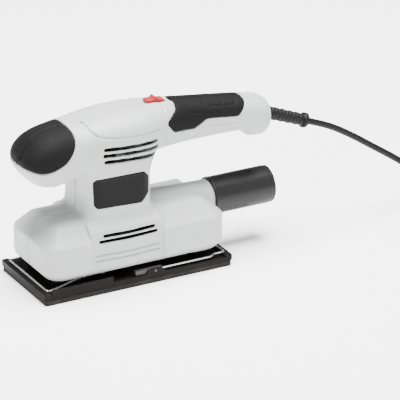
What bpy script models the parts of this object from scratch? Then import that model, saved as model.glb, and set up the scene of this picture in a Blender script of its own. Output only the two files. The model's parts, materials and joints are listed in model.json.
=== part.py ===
"""Orbital sheet sander: shells, motor, eccentric drive, platen, paper clamps, switch, dust tube and cord.

The frame: +X points from the palm grip to the handle's cord end, +Z is up, and the origin is the
centre of the sole's underside. Lengths are written as millimetres times MM and used in metres.
"""

import math

import bmesh
import bpy
from mathutils import Matrix, Vector

MM = 0.001
GAP = 0.3 * MM  # between pieces that touch
LEFT, RIGHT = -1, 1  # the side of the housing, as the sign of Y

# Sole and platen
SOLE_LENGTH = 187 * MM
SOLE_WIDTH = 90 * MM
SOLE_THICKNESS = 5 * MM
DECK_OVERHANG = 1 * MM  # of the deck past the sole at each end
DECK_FLOOR = 3 * MM
DECK_END_RIM_HEIGHT = 5.4 * MM  # above the deck's underside, where the clamp wire presses
DECK_END_RIM_DEPTH = 7 * MM
DECK_RAIL_HEIGHT = 4.2 * MM
DECK_RAIL_WIDTH = 1.4 * MM
DECK_WALL_HEIGHT = 9.4 * MM
DECK_WALL_START = 7 * MM  # from the deck's end
DECK_WALL_LENGTH = 61 * MM
DUST_HOLE_RADIUS = 4.5 * MM
DUST_HOLE_X = (24 * MM, 44 * MM)
DUST_HOLE_Y = 26 * MM

# Paper clamps
WIRE_DIAMETER = 1.9 * MM
CLAMP_PIVOT_X = 16 * MM
CLAMP_BAR_X = SOLE_LENGTH / 2 - 4 * MM
CLAMP_OUTER_Y = SOLE_WIDTH / 2 - 3 * MM
CLAMP_INNER_Y = SOLE_WIDTH / 2 - 20 * MM
CLAMP_JOG = 4 * MM  # of the outer leg, inwards before the bar
CLAMP_SPREAD = 15.3 * MM  # of the inner leg, outwards before the bar
CLAMP_SPREAD_LENGTH = 42 * MM
CLAMP_Z = SOLE_THICKNESS + DECK_END_RIM_HEIGHT + WIRE_DIAMETER / 2 + GAP
CLAMP_BEND = 3 * MM  # bend radius of the wire's centreline
CLAMP_PIN_LENGTH = 5.5 * MM
EAR_RADIUS = 10.4 * MM
EAR_TOP = 9.2 * MM  # above the deck's underside
TAB_LENGTH = 27 * MM
TAB_REACH = 19.5 * MM  # past the pivot, towards the finger gap
TAB_HEIGHT = 4 * MM
TAB_WIDTH = 4.4 * MM
TRUNNION_RADIUS = 1.5 * MM

# Drive
MOTOR_X = -9 * MM
ORBIT_RADIUS = 1 * MM
SHAFT_RADIUS = 4 * MM
SHAFT_BOTTOM = 32 * MM
SHAFT_TOP = 139 * MM
ARMATURE_RADIUS = 14.5 * MM
AIR_GAP = 0.6 * MM
STATOR_RADIUS = 25.5 * MM
STATOR_BOTTOM = 72 * MM
STATOR_HEIGHT = 34 * MM
WINDING_RADIUS = 13 * MM
WINDING_HEIGHT = 6 * MM
COMMUTATOR_RADIUS = 9.5 * MM
COMMUTATOR_HEIGHT = 11 * MM
COMMUTATOR_BOTTOM = 114 * MM
BEARING_OUTER = 11 * MM
BEARING_INNER = 4.3 * MM
BEARING_WIDTH = 7 * MM
LOWER_BEARING_BOTTOM = 54 * MM
UPPER_BEARING_OUTER = 9.5 * MM
UPPER_BEARING_BOTTOM = 130 * MM
UPPER_BEARING_WIDTH = 6 * MM
PLATEN_BEARING_BOTTOM = 13.5 * MM
FAN_RADIUS = 31 * MM
FAN_BOTTOM = 32 * MM
FAN_DISC = 1.6 * MM
FAN_BLADE_HEIGHT = 13 * MM
FAN_BLADES = 9
FAN_HUB_RADIUS = 8 * MM
ECCENTRIC_TOP = 31.7 * MM
COUNTERWEIGHT_RADIUS = 26 * MM
COUNTERWEIGHT_THICKNESS = 6 * MM
PIN_RADIUS = 4 * MM

# Platen hub and pillars
HUB_RADIUS = 16 * MM
HUB_TOP = 21 * MM
PILLAR_X = SOLE_LENGTH / 2 - 23.5 * MM
PILLAR_Y = 21 * MM
PILLAR_RADIUS = 7 * MM
PILLAR_TOP = 38 * MM
SOCKET_CLEARANCE = 1.6 * MM  # round a pillar, more than the orbit
SOCKET_WALL = 2.2 * MM
SOCKET_BOTTOM = 16.5 * MM

# Skirt, as (height, how far its end and its side lie inside the widest outline, corner radius)
SKIRT_X = 1.5 * MM
SKIRT_HALF_LENGTH = SOLE_LENGTH / 2 - 3 * MM
SKIRT_HALF_WIDTH = SOLE_WIDTH / 2 - 2 * MM
SKIRT_STATIONS = [
    (17.5 * MM, 4 * MM, 3.5 * MM, 15 * MM),
    (19.5 * MM, 1.2 * MM, 1.2 * MM, 17 * MM),
    (24 * MM, 0, 0, 18 * MM),
    (46 * MM, 0, 0, 18 * MM),
    (52 * MM, 1.5 * MM, 2 * MM, 17 * MM),
    (57.5 * MM, 5.5 * MM, 6.5 * MM, 15 * MM),
    (61.5 * MM, 11 * MM, 12.5 * MM, 12 * MM),
    (64 * MM, 17.5 * MM, 19 * MM, 8 * MM),
]
SIDE_PANEL_X = (-45 * MM, 25 * MM)
SIDE_PANEL_DEPTH = 1.8 * MM
SIDE_PANEL_TOP = 57 * MM
LOWER_VENTS = [(53.2 * MM, -33.5 * MM, 18.5 * MM), (48.6 * MM, -38 * MM, 21 * MM)]
VENT_HEIGHT = 2 * MM

# Column round the motor, as (height, half length, half width, corner radius)
COLUMN_STATIONS = [
    (50 * MM, 40 * MM, 34 * MM, 15 * MM),
    (64 * MM, 36 * MM, 32 * MM, 13 * MM),
    (70 * MM, 33 * MM, 30.5 * MM, 12 * MM),
    (78 * MM, 32 * MM, 30 * MM, 12 * MM),
    (98 * MM, 32 * MM, 30 * MM, 12 * MM),
    (108 * MM, 34 * MM, 31 * MM, 12 * MM),
    (118 * MM, 38 * MM, 32 * MM, 13 * MM),
    (130 * MM, 38 * MM, 30 * MM, 13 * MM),
]
WALL = 2.5 * MM

# Head and handle, as (x, underside, top, half width, wall)
HEAD_STATIONS = [
    (-98.6 * MM, 117.5 * MM, 127.5 * MM, 8 * MM, 3.6 * MM),
    (-96.5 * MM, 114.6 * MM, 131 * MM, 17 * MM, 4.4 * MM),
    (-91 * MM, 106.8 * MM, 138.5 * MM, 24.5 * MM, 4.4 * MM),
    (-82 * MM, 100 * MM, 145 * MM, 29 * MM, 4.4 * MM),
    (-70 * MM, 97.4 * MM, 149 * MM, 31 * MM, 4.4 * MM),
    (-57 * MM, 99.6 * MM, 151.2 * MM, 31.5 * MM, 4.4 * MM),
    (-42 * MM, 105 * MM, 153 * MM, 32 * MM, 3.2 * MM),
    (-25 * MM, 110 * MM, 155.3 * MM, 33.5 * MM, 2.6 * MM),
    (-5 * MM, 111.5 * MM, 156.9 * MM, 34 * MM, 2.6 * MM),
    (15 * MM, 112 * MM, 157.1 * MM, 32.5 * MM, 3.6 * MM),
    (30 * MM, 112.2 * MM, 156.6 * MM, 28.5 * MM, 4.4 * MM),
    (43 * MM, 112.4 * MM, 155.9 * MM, 24 * MM, 4.4 * MM),
    (58 * MM, 112.7 * MM, 154.3 * MM, 20.8 * MM, 4.4 * MM),
    (80 * MM, 112.9 * MM, 151.6 * MM, 19 * MM, 4.4 * MM),
    (105 * MM, 113.2 * MM, 148.2 * MM, 18.5 * MM, 4.4 * MM),
    (123 * MM, 111.5 * MM, 145.5 * MM, 18.6 * MM, 4.4 * MM),
    (132 * MM, 106.8 * MM, 144 * MM, 19.4 * MM, 4 * MM),
    (140 * MM, 105.3 * MM, 142.4 * MM, 19.6 * MM, 3.2 * MM),
    (148 * MM, 108.6 * MM, 139.3 * MM, 17 * MM, 2.6 * MM),
    (152 * MM, 115.6 * MM, 133.5 * MM, 11.5 * MM, 2.6 * MM),
]
HEAD_POWER = 2.4  # of the superellipse sections
UPPER_VENTS = [
    (131 * MM, -28.5 * MM, 27 * MM), (125 * MM, -29 * MM, 27.5 * MM), (119 * MM, -28 * MM, 26 * MM),
]
HEAD_VENT_HEIGHT = 2.4 * MM

# Rubber
RUBBER = 2 * MM
PALM_PAD_OUTLINE = [
    (-57 * MM, 170 * MM), (-52.6 * MM, 152 * MM), (-52.3 * MM, 145 * MM), (-55.5 * MM, 136 * MM),
    (-62 * MM, 127.5 * MM), (-75 * MM, 120.6 * MM), (-87 * MM, 118.6 * MM), (-96 * MM, 121 * MM),
    (-110 * MM, 126.5 * MM), (-110 * MM, 170 * MM),
]
GRIP_OUTLINE = [
    (54.5 * MM, 170 * MM), (53.8 * MM, 153.5 * MM), (52.2 * MM, 149.7 * MM), (40 * MM, 140.6 * MM),
    (47 * MM, 131 * MM), (70 * MM, 129 * MM), (82 * MM, 135.4 * MM), (114.5 * MM, 132 * MM),
    (120.5 * MM, 137 * MM), (125 * MM, 142.5 * MM), (129 * MM, 170 * MM),
]

# Dust outlet
DUCT_Z = 51.4 * MM
COLLAR_RADIUS = 16 * MM
COLLAR_END = SKIRT_X + SKIRT_HALF_LENGTH + 0.8 * MM
SPIGOT_RADIUS = 14.8 * MM
SPIGOT_END = COLLAR_END + 17 * MM
DUCT_WALL = 2 * MM
TUBE_RADIUS = 17.5 * MM
TUBE_LENGTH = 62 * MM

# Slide switch
SWITCH_X = 38 * MM
SWITCH_TILT = math.radians(3.6)
SWITCH_TOP_Z = 156.2 * MM  # the housing's top at SWITCH_X
SLIDER_LENGTH = 17 * MM
SLIDER_WIDTH = 9.5 * MM
SWITCH_TRAVEL = 6 * MM
SLOT_MARGIN_FRONT = 6.5 * MM
SLOT_MARGIN_REAR = 1.6 * MM

# Cord
CORD_DIAMETER = 6.2 * MM
CORD_EXIT_X = 151 * MM
CORD_EXIT_Z = 123.2 * MM
CORD_DROP = math.radians(21.4)  # of the cord protector below level
SLEEVE_START = -10.5 * MM  # inside the handle
SLEEVE_LENGTH = 46.8 * MM
SLEEVE_RADIUS = 6.2 * MM
SLEEVE_FLANGE_RADIUS = 9 * MM
COIL_CENTRE = Vector((0.380, -0.046, 0.0))
COIL_OUTER_TURN = 46 * MM
COIL_INNER_TURN = 26.8 * MM
COIL_HEIGHT = 2 * CORD_DIAMETER
CORD_ROUTE = [
    (0.2210, 0.0, 0.0952), (0.2430, 0.0, 0.0825), (0.2650, 0.0, 0.0678), (0.2948, 0.0, 0.0475),
    (0.3140, 0.0, 0.0325), (0.3290, 0.0, 0.0197), (0.3405, 0.0, 0.0103), (0.3490, 0.0, 0.0052),
    (0.3547, 0.0, 0.0034),
]
TAIL_ROUTE = [
    (0.3395, -0.0590, 0.0159), (0.3395, -0.0510, 0.0170), (0.3428, -0.0385, 0.0198),
    (0.3520, -0.0294, 0.0232), (0.3585, -0.0268, 0.0248), (0.3645, -0.0260, 0.0257),
]
PLUG_LENGTH = 40 * MM
PLUG_HALF_WIDTH = 17 * MM
PLUG_HALF_HEIGHT = 13 * MM
PIN_SPACING = 19 * MM
PIN_DIAMETER = 4.8 * MM
PIN_LENGTH = 19 * MM

COLOURS = {
    "light_grey": ((0.70, 0.70, 0.70, 1), 0.45, 0.0),
    "black_rubber": ((0.035, 0.033, 0.034, 1), 0.7, 0.0),
    "black_plastic": ((0.03, 0.03, 0.03, 1), 0.4, 0.0),
    "red_plastic": ((0.65, 0.05, 0.07, 1), 0.4, 0.0),
    "steel": ((0.75, 0.75, 0.76, 1), 0.25, 1.0),
    "core_steel": ((0.35, 0.35, 0.37, 1), 0.45, 1.0),
    "copper": ((0.72, 0.35, 0.18, 1), 0.35, 1.0),
    "carbon": ((0.05, 0.05, 0.055, 1), 0.8, 0.0),
    "zinc": ((0.6, 0.6, 0.62, 1), 0.5, 1.0),
    "foam": ((0.06, 0.06, 0.06, 1), 0.9, 0.0),
    "brass": ((0.75, 0.6, 0.3, 1), 0.3, 1.0),
    "label": ((0.04, 0.04, 0.04, 1), 0.35, 0.0),
}


# Building helpers


def material(name):
    colour, roughness, metallic = COLOURS[name]
    made = bpy.data.materials.new(name)
    made.use_nodes = True
    shader = made.node_tree.nodes["Principled BSDF"]
    shader.inputs["Base Color"].default_value = colour
    shader.inputs["Roughness"].default_value = roughness
    shader.inputs["Metallic"].default_value = metallic
    return made


def solid(bm):
    """A bmesh as an object whose faces point outwards and are flat."""
    bent = [f for f in bm.faces if len(f.verts) == 4]
    bmesh.ops.triangulate(bm, faces=bent)
    bmesh.ops.recalc_face_normals(bm, faces=bm.faces)
    mesh = bpy.data.meshes.new("solid")
    bm.to_mesh(mesh)
    bm.free()
    made = bpy.data.objects.new("solid", mesh)
    bpy.context.collection.objects.link(made)
    return made


def loft(rings):
    """A closed skin over rings that have the same number of points, with a flat face at each end."""
    bm = bmesh.new()
    rows = [[bm.verts.new(p) for p in ring] for ring in rings]
    for a, b in zip(rows, rows[1:]):
        for i in range(len(a)):
            j = (i + 1) % len(a)
            bm.faces.new((a[i], a[j], b[j], b[i]))
    bm.faces.new(rows[0])
    bm.faces.new(rows[-1])
    return solid(bm)


def box(low, high):
    bm = bmesh.new()
    bmesh.ops.create_cube(bm, size=1)
    low, high = Vector(low), Vector(high)
    for v in bm.verts:
        v.co = Vector(((low[i] + high[i]) / 2 + v.co[i] * (high[i] - low[i]) for i in range(3)))
    return solid(bm)


def cylinder(start, end, radius, sides=16, end_radius=None):
    """A round bar or cone from one point to another."""
    start, end = Vector(start), Vector(end)
    turn = (end - start).to_track_quat("Z", "Y").to_matrix()
    rings = []
    for centre, r in ((start, radius), (end, radius if end_radius is None else end_radius)):
        ring = []
        for i in range(sides):
            a = 2 * math.pi * (i + 0.5) / sides
            ring.append(centre + turn @ Vector((r * math.cos(a), r * math.sin(a), 0)))
        rings.append(ring)
    return loft(rings)


def turned(profile, centre, sides=28):
    """A profile of (radius, height) turned about the vertical line through centre, both ends on the line."""
    bm = bmesh.new()
    rows = []
    for r, z in profile:
        ring = []
        for i in range(sides):
            a = 2 * math.pi * i / sides
            ring.append(bm.verts.new((centre[0] + r * math.cos(a), centre[1] + r * math.sin(a), z)))
        rows.append(ring)
    for a, b in zip(rows, rows[1:] + rows[:1]):
        for i in range(sides):
            j = (i + 1) % sides
            bm.faces.new((a[i], a[j], b[j], b[i]))
    return solid(bm)


def ring(centre, outer, inner, low, high, sides=28):
    """A round washer or sleeve standing on z = low."""
    return turned([(inner, low), (outer, low), (outer, high), (inner, high)], centre, sides)


def prism(outline, low, high, axis="Y"):
    """An outline in XZ pulled along Y, or one in XY pulled along Z."""
    rings = []
    for depth in (low, high):
        if axis == "Y":
            rings.append([Vector((u, depth, v)) for u, v in outline])
        else:
            rings.append([Vector((u, v, depth)) for u, v in outline])
    return loft(rings)


def grown(outline, distance):
    """An outline moved outwards by a distance, corner by corner."""
    area = sum(a[0] * b[1] - b[0] * a[1] for a, b in zip(outline, outline[1:] + outline[:1]))
    side = 1 if area > 0 else -1
    moved = []
    for i, here in enumerate(outline):
        here = Vector(here)
        before, after = Vector(outline[i - 1]), Vector(outline[(i + 1) % len(outline)])
        n1 = (here - before).normalized()
        n2 = (after - here).normalized()
        normal = Vector((n1.y, -n1.x)) + Vector((n2.y, -n2.x))
        normal = normal / (1 + n1.dot(n2))
        moved.append(tuple(here + side * normal * distance))
    return moved


def rounded_box(low, high, radius, steps=4):
    """An upright block whose four vertical edges are rounded."""
    centre_x, centre_y = (low[0] + high[0]) / 2, (low[1] + high[1]) / 2
    half_x, half_y = (high[0] - low[0]) / 2, (high[1] - low[1]) / 2
    outline = rounded_outline(centre_x, centre_y, half_x, half_y, radius, steps)
    return prism(outline, low[2], high[2], "Z")


def rounded_outline(x, y, half_x, half_y, radius, steps=4):
    points = []
    for quarter, (sx, sy) in enumerate(((1, 1), (-1, 1), (-1, -1), (1, -1))):
        cx, cy = x + sx * (half_x - radius), y + sy * (half_y - radius)
        for i in range(steps + 1):
            a = math.pi / 2 * (quarter + i / steps)
            points.append((cx + radius * math.cos(a), cy + radius * math.sin(a)))
    return points


def combine(target, other, operation):
    """Adds, cuts or crosses two solids, and removes the second one."""
    modifier = target.modifiers.new("combine", "BOOLEAN")
    modifier.operation = operation
    modifier.solver = "EXACT"
    modifier.object = other
    view = bpy.context.evaluated_depsgraph_get()
    view.update()
    mesh = bpy.data.meshes.new_from_object(target.evaluated_get(view))
    target.modifiers.clear()
    old = target.data
    target.data = mesh
    bpy.data.meshes.remove(old)
    discard(other)
    return target


def discard(thing):
    mesh = thing.data
    bpy.data.objects.remove(thing)
    bpy.data.meshes.remove(mesh)


def union(target, *others):
    for other in others:
        combine(target, other, "UNION")
    return target


def cut(target, *others):
    for other in others:
        combine(target, other, "DIFFERENCE")
    return target


def cross(target, other):
    return combine(target, other, "INTERSECT")


def copy_of(thing):
    made = bpy.data.objects.new("solid", thing.data.copy())
    bpy.context.collection.objects.link(made)
    return made


def node(name, thing, colour, parent=None, smooth=30):
    """Names a finished solid and gives it its material and its parent empty."""
    thing.name = name
    thing.data.name = name
    bm = bmesh.new()
    bm.from_mesh(thing.data)
    bmesh.ops.remove_doubles(bm, verts=bm.verts, dist=0.002 * MM)
    bmesh.ops.dissolve_degenerate(bm, dist=0.002 * MM, edges=bm.edges)
    bmesh.ops.dissolve_limit(bm, angle_limit=math.radians(0.8), verts=bm.verts, edges=bm.edges)
    bm.to_mesh(thing.data)
    bm.free()
    thing.data.materials.clear()
    thing.data.materials.append(material(colour))
    thing.data.shade_smooth()
    thing.data.set_sharp_from_angle(angle=math.radians(smooth))
    if parent is not None:
        thing.data.transform(Matrix.Translation(-world_place(parent)))
        thing.parent = parent
    return thing


def world_place(thing):
    """Where an unturned empty is, with its parents' places added."""
    return thing.location + (world_place(thing.parent) if thing.parent else Vector())


def empty(name, place, parent=None):
    made = bpy.data.objects.new(name, None)
    made.location = place
    bpy.context.collection.objects.link(made)
    if parent is not None:
        made.location = Vector(place) - world_place(parent)
        made.parent = parent
    return made


# Housing


def column(inset, steps=4):
    """The upright body round the motor, its skin moved inwards by inset."""
    rings = []
    for z, half_x, half_y, radius in COLUMN_STATIONS:
        corner = max(radius - inset, 2 * MM)
        outline = rounded_outline(MOTOR_X, 0, half_x - inset, half_y - inset, corner, steps)
        rings.append([Vector((x, y, z)) for x, y in outline])
    return loft(rings)


def skirt(inset, bottom=0.0, steps=4):
    """The wide lower body, its skin moved inwards by inset and its underside down by bottom."""
    rings = []
    for i, (z, end, side, radius) in enumerate(SKIRT_STATIONS):
        half_x, half_y = SKIRT_HALF_LENGTH - end, SKIRT_HALF_WIDTH - side
        z = z - bottom if i == 0 else z - (inset if i > 3 else 0)
        corner = max(radius - inset, 2 * MM)
        outline = rounded_outline(SKIRT_X, 0, half_x - inset, half_y - inset, corner, steps)
        rings.append([Vector((x, y, z)) for x, y in outline])
    return loft(rings)


def head(inset=None, points=24):
    """The palm knob, motor cap and handle in one. With no inset, the inside of the wall."""
    first, last = HEAD_STATIONS[0][0], HEAD_STATIONS[-1][0]
    rings = []
    for x, low, high, half, wall in HEAD_STATIONS:
        d = wall if inset is None else inset
        front = max(0.0, 1 - (x - first) / (12 * MM))
        rear = max(0.0, 1 - (last - x) / (12 * MM))
        half_height, half_width = (high - low) / 2 - d, half - d
        if min(half_height, half_width) < 1.5 * MM:
            continue
        ring_points = []
        for i in range(points):
            a = 2 * math.pi * i / points
            c, s = math.cos(a), math.sin(a)
            y = half_width * math.copysign(abs(c) ** (2 / HEAD_POWER), c)
            z = half_height * math.copysign(abs(s) ** (2 / HEAD_POWER), s)
            ring_points.append(Vector((x + d * (front - rear), y, (low + high) / 2 + z)))
        rings.append(ring_points)
    return loft(rings)


def duct_outside():
    ends = (30 * MM, 0, DUCT_Z), (COLLAR_END, 0, DUCT_Z)
    collar = cylinder(*ends, COLLAR_RADIUS + 2.5 * MM, 28, COLLAR_RADIUS)
    return union(collar, cylinder((COLLAR_END - MM, 0, DUCT_Z), (SPIGOT_END, 0, DUCT_Z), SPIGOT_RADIUS, 28))


SCREWS = [  # (x, z, |y| of the countersink's rim)
    (-70 * MM, 108 * MM, 24.6 * MM),
    (36 * MM, 122 * MM, 21.5 * MM),
    (64 * MM, 121 * MM, 15.4 * MM),
    (112 * MM, 120 * MM, 14.1 * MM),
    (SKIRT_X - SKIRT_HALF_LENGTH + 12.5 * MM, 47 * MM, SKIRT_HALF_WIDTH - 3.7 * MM),
    (SKIRT_X - SKIRT_HALF_LENGTH + 4 * MM, 28 * MM, SKIRT_HALF_WIDTH - 9.8 * MM),
    (SKIRT_X + SKIRT_HALF_LENGTH - 10.5 * MM, 28 * MM, SKIRT_HALF_WIDTH - 4.2 * MM),
]
SCREW_RADIUS = 1.6 * MM
SCREW_HEAD_RADIUS = 3.1 * MM
SCREW_HEAD_HEIGHT = 2.2 * MM
SCREW_SINK = 3 * MM  # of the head's seat below the rim
SCREW_REACH = 9 * MM  # past the middle of the housing
BOSS_RADIUS = 4.6 * MM
SOCKET_RADIUS = PILLAR_RADIUS + SOCKET_CLEARANCE
SOCKET_TOP = PILLAR_TOP + 0.6 * MM


def pillar_places():
    return [(sx * PILLAR_X, sy * PILLAR_Y) for sx in (-1, 1) for sy in (-1, 1)]


def socket_column(x, y):
    """The solid round one pillar's socket, with ribs to the end and side walls."""
    outer = SOCKET_RADIUS + SOCKET_WALL
    body = cylinder((x, y, SOCKET_BOTTOM), (x, y, SOCKET_TOP + SOCKET_WALL), outer, 16)
    end = math.copysign(SKIRT_HALF_LENGTH - 1.2 * MM, x) + SKIRT_X
    side = math.copysign(SKIRT_HALF_WIDTH - 1.2 * MM, y)
    low, high = SOCKET_BOTTOM + 6 * MM, SOCKET_TOP
    xs, ys = sorted((x, end)), sorted((y, side))
    ribs = box((xs[0], y - MM, low), (xs[1], y + MM, high)), box((x - MM, ys[0], low), (x + MM, ys[1], high))
    return union(body, *ribs)


def cross_bars(low, high, width, reach, bound):
    """Two crossed bars that reach into the wall that bound stands for, or only as far as reach along X."""
    bars = box((MOTOR_X - reach, -width / 2, low), (MOTOR_X + reach, width / 2, high))
    union(bars, box((MOTOR_X - width / 2, -60 * MM, low), (MOTOR_X + width / 2, 60 * MM, high)))
    return cross(bars, bound)


def motor_seats():
    """The stator's ledge and the two bearing cups, reaching into the column's wall."""
    motor = (MOTOR_X, 0)
    ledge_top = STATOR_BOTTOM - GAP
    ledge = cross(box((-60 * MM, -60 * MM, ledge_top - 2.2 * MM), (60 * MM, 60 * MM, ledge_top)), column(MM))
    cut(ledge, cylinder((MOTOR_X, 0, 60 * MM), (MOTOR_X, 0, 80 * MM), STATOR_RADIUS - 2.7 * MM, 28))
    low = LOWER_BEARING_BOTTOM - GAP
    cup = cross_bars(low - 2.4 * MM, low, 12 * MM, 14 * MM, skirt(MM))
    ends = (*motor, low - 2.4 * MM), (*motor, low + BEARING_WIDTH)
    union(cup, cylinder(*ends, BEARING_OUTER + 2.6 * MM, 28))
    cut(cup, cylinder((*motor, low), (*motor, low + 10 * MM), BEARING_OUTER + GAP, 28))
    cut(cup, cylinder((*motor, low - 5 * MM), (*motor, low + MM), SHAFT_RADIUS + 2 * MM, 16))
    high = UPPER_BEARING_BOTTOM + UPPER_BEARING_WIDTH + GAP
    cap = cross_bars(high, high + 2.4 * MM, 12 * MM, 14 * MM, head(MM))
    bottom = UPPER_BEARING_BOTTOM + MM
    union(cap, cylinder((*motor, bottom), (*motor, high + 2.4 * MM), UPPER_BEARING_OUTER + 2.6 * MM, 28))
    cut(cap, cylinder((*motor, bottom - MM), (*motor, high), UPPER_BEARING_OUTER + GAP, 28))
    cut(cap, cylinder((*motor, high - MM), (*motor, high + 5 * MM), SHAFT_RADIUS + 1.5 * MM, 16))
    return ledge, cup, cap


def bosses():
    """The screw bosses from wall to wall, ended inside the walls."""
    bound = union(head(0.8 * MM), skirt(0.8 * MM))
    made = []
    for x, z, rim in SCREWS:
        made.append(cross(cylinder((x, -rim - MM, z), (x, rim + MM, z), BOSS_RADIUS, 10), copy_of(bound)))
    discard(bound)
    return made


def screw_holes():
    made = []
    for x, z, rim in SCREWS:
        made.append(cylinder((x, rim - SCREW_SINK, z), (x, rim + 20 * MM, z), SCREW_HEAD_RADIUS + GAP, 12))
        made.append(cylinder((x, -SCREW_REACH - MM, z), (x, rim, z), SCREW_RADIUS + GAP, 8))
    return made


def vents():
    made = []
    for side in (LEFT, RIGHT):
        for z, start, end in LOWER_VENTS:
            ys = sorted((side * 30 * MM, side * 60 * MM))
            made.append(box((start, ys[0], z - VENT_HEIGHT / 2), (end, ys[1], z + VENT_HEIGHT / 2)))
        for z, start, end in UPPER_VENTS:
            ys = sorted((side * 24 * MM, side * 60 * MM))
            half = HEAD_VENT_HEIGHT / 2
            made.append(box((start, ys[0], z - half), (end, ys[1], z + half)))
    return made


def side_panels():
    """A pad inside each wall and the shallow recess outside it."""
    pads, recesses = [], []
    inner = SKIRT_HALF_WIDTH - SIDE_PANEL_DEPTH
    for side in (LEFT, RIGHT):
        ys = sorted((side * (inner - 2.4 * MM), side * (SKIRT_HALF_WIDTH - MM)))
        xs = SIDE_PANEL_X[0] - 2 * MM, SIDE_PANEL_X[1] + 2 * MM
        pads.append(box((xs[0], ys[0], 18 * MM), (xs[1], ys[1], 50 * MM)))
        ys = sorted((side * inner, side * 70 * MM))
        recesses.append(box((SIDE_PANEL_X[0], ys[0], 10 * MM), (SIDE_PANEL_X[1], ys[1], SIDE_PANEL_TOP)))
    return pads, recesses


def switch_frame(low, high):
    """A block given along the slide, across it and out of the housing, from the switch's place."""
    turn = Matrix.Translation((SWITCH_X, 0, SWITCH_TOP_Z)) @ Matrix.Rotation(SWITCH_TILT, 4, "Y")
    block = box(low, high)
    block.data.transform(turn)
    return block


SLOT_END = SLIDER_LENGTH / 2 + SWITCH_TRAVEL + SLOT_MARGIN_REAR
NECK_LENGTH = 9 * MM
NECK_WIDTH = 5 * MM
RECESS_DEPTH = 1.8 * MM


def switch_slot():
    front, half = -SLIDER_LENGTH / 2 - SLOT_MARGIN_FRONT, SLIDER_WIDTH / 2 + 0.6 * MM
    recess = switch_frame((front, -half, -RECESS_DEPTH), (SLOT_END, half, 20 * MM))
    front, half = -NECK_LENGTH / 2 - MM, NECK_WIDTH / 2 + GAP
    return recess, switch_frame((front, -half, -12 * MM), (-front + SWITCH_TRAVEL, half, 5 * MM))


def label_outline():
    """The side plate's outline with round front corners and a long cut at the lower rear."""
    return [
        (-34 * MM, 103.3 * MM), (12 * MM, 102.6 * MM), (17.3 * MM, 96.8 * MM), (17.3 * MM, 82.5 * MM),
        (9.5 * MM, 74.5 * MM), (-33.5 * MM, 76.5 * MM), (-35.5 * MM, 79 * MM), (-36.2 * MM, 101 * MM),
    ]


def inlay(skin, outline, low, high, depth):
    """A flush cover inside an outline, and the pocket in the housing that it fills with a gap."""
    cover = cut(cross(skin(0.0), prism(outline, low, high)), skin(depth))
    pocket = cut(prism(grown(outline, GAP), low - GAP, high + GAP), skin(depth + GAP))
    return cover, pocket


CORD_EXIT = Vector((CORD_EXIT_X, 0, CORD_EXIT_Z))
CORD_ALONG = Vector((math.cos(CORD_DROP), 0, -math.sin(CORD_DROP)))
CORD_ACROSS = Vector((math.sin(CORD_DROP), 0, math.cos(CORD_DROP)))
FLANGE_START = -8 * MM  # along the cord from its exit
FLANGE_END = -5.3 * MM
CLAMP_PLATE_AT = -15 * MM
CLAMP_PLATE_SCREW = 6.3 * MM  # from the cord's middle
CLAMP_PLATE_TOP = 6 * MM


def handle_bore():
    """The way for the cord and the seat for its protector, through the handle's end."""
    seat = cylinder(cord_point(-16 * MM), cord_point(12 * MM), SLEEVE_RADIUS + GAP, 16)
    ends = cord_point(FLANGE_START - GAP), cord_point(FLANGE_END + GAP)
    return seat, cylinder(*ends, SLEEVE_FLANGE_RADIUS + GAP, 16)


def cord_point(along, across=0.0, y=0.0):
    """A point of the cord's straight stretch, that far out of the handle."""
    return CORD_EXIT + CORD_ALONG * along + CORD_ACROSS * across + Vector((0, y, 0))


def cord_rests():
    """The two screw bosses and the rest of the cord clamp, on the left wall."""
    made = []
    for across in (-CLAMP_PLATE_SCREW, CLAMP_PLATE_SCREW):
        ends = cord_point(CLAMP_PLATE_AT, across, -15.5 * MM), cord_point(CLAMP_PLATE_AT, across)
        made.append(cylinder(*ends, 3.4 * MM, 12))
    ends = cord_point(CLAMP_PLATE_AT, 0, -16 * MM), cord_point(CLAMP_PLATE_AT, 0, -CORD_DIAMETER / 2 - GAP)
    made.append(cylinder(*ends, 3.4 * MM, 12))
    return made


def housing():
    """The whole hollow shell, before it is split along its middle."""
    shell = union(column(0.0), skirt(0.0), duct_outside(), head(0.0))
    hollow = union(column(WALL, 2), skirt(WALL, 5 * MM, 2), head(None, 14))
    sleeve = cylinder((34 * MM, 0, DUCT_Z), (COLLAR_END - 2 * MM, 0, DUCT_Z), COLLAR_RADIUS - 0.7 * MM, 28)
    cut(shell, hollow)
    pads, recesses = side_panels()
    union(shell, sleeve, *pads, *motor_seats(), *bosses())
    for x, y in pillar_places():
        union(shell, socket_column(x - ORBIT_RADIUS, y))
    block = cross(cylinder(cord_point(-11 * MM), cord_point(9 * MM), 13 * MM, 16), head(0.6 * MM))
    union(shell, block, *cord_rests())
    cut(shell, cylinder((20 * MM, 0, DUCT_Z), (0.2, 0, DUCT_Z), SPIGOT_RADIUS - DUCT_WALL, 28))
    cut(shell, *recesses, *vents(), *screw_holes(), *switch_slot(), *handle_bore())
    for across in (-CLAMP_PLATE_SCREW, CLAMP_PLATE_SCREW):
        ends = cord_point(CLAMP_PLATE_AT, across, -9 * MM), cord_point(CLAMP_PLATE_AT, across, MM)
        cut(shell, cylinder(*ends, 1.2 * MM + GAP, 10))
    for x, y in pillar_places():
        x -= ORBIT_RADIUS
        cut(shell, cylinder((x, y, SOCKET_BOTTOM - MM), (x, y, SOCKET_TOP), SOCKET_RADIUS, 16))
    return shell


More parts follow.
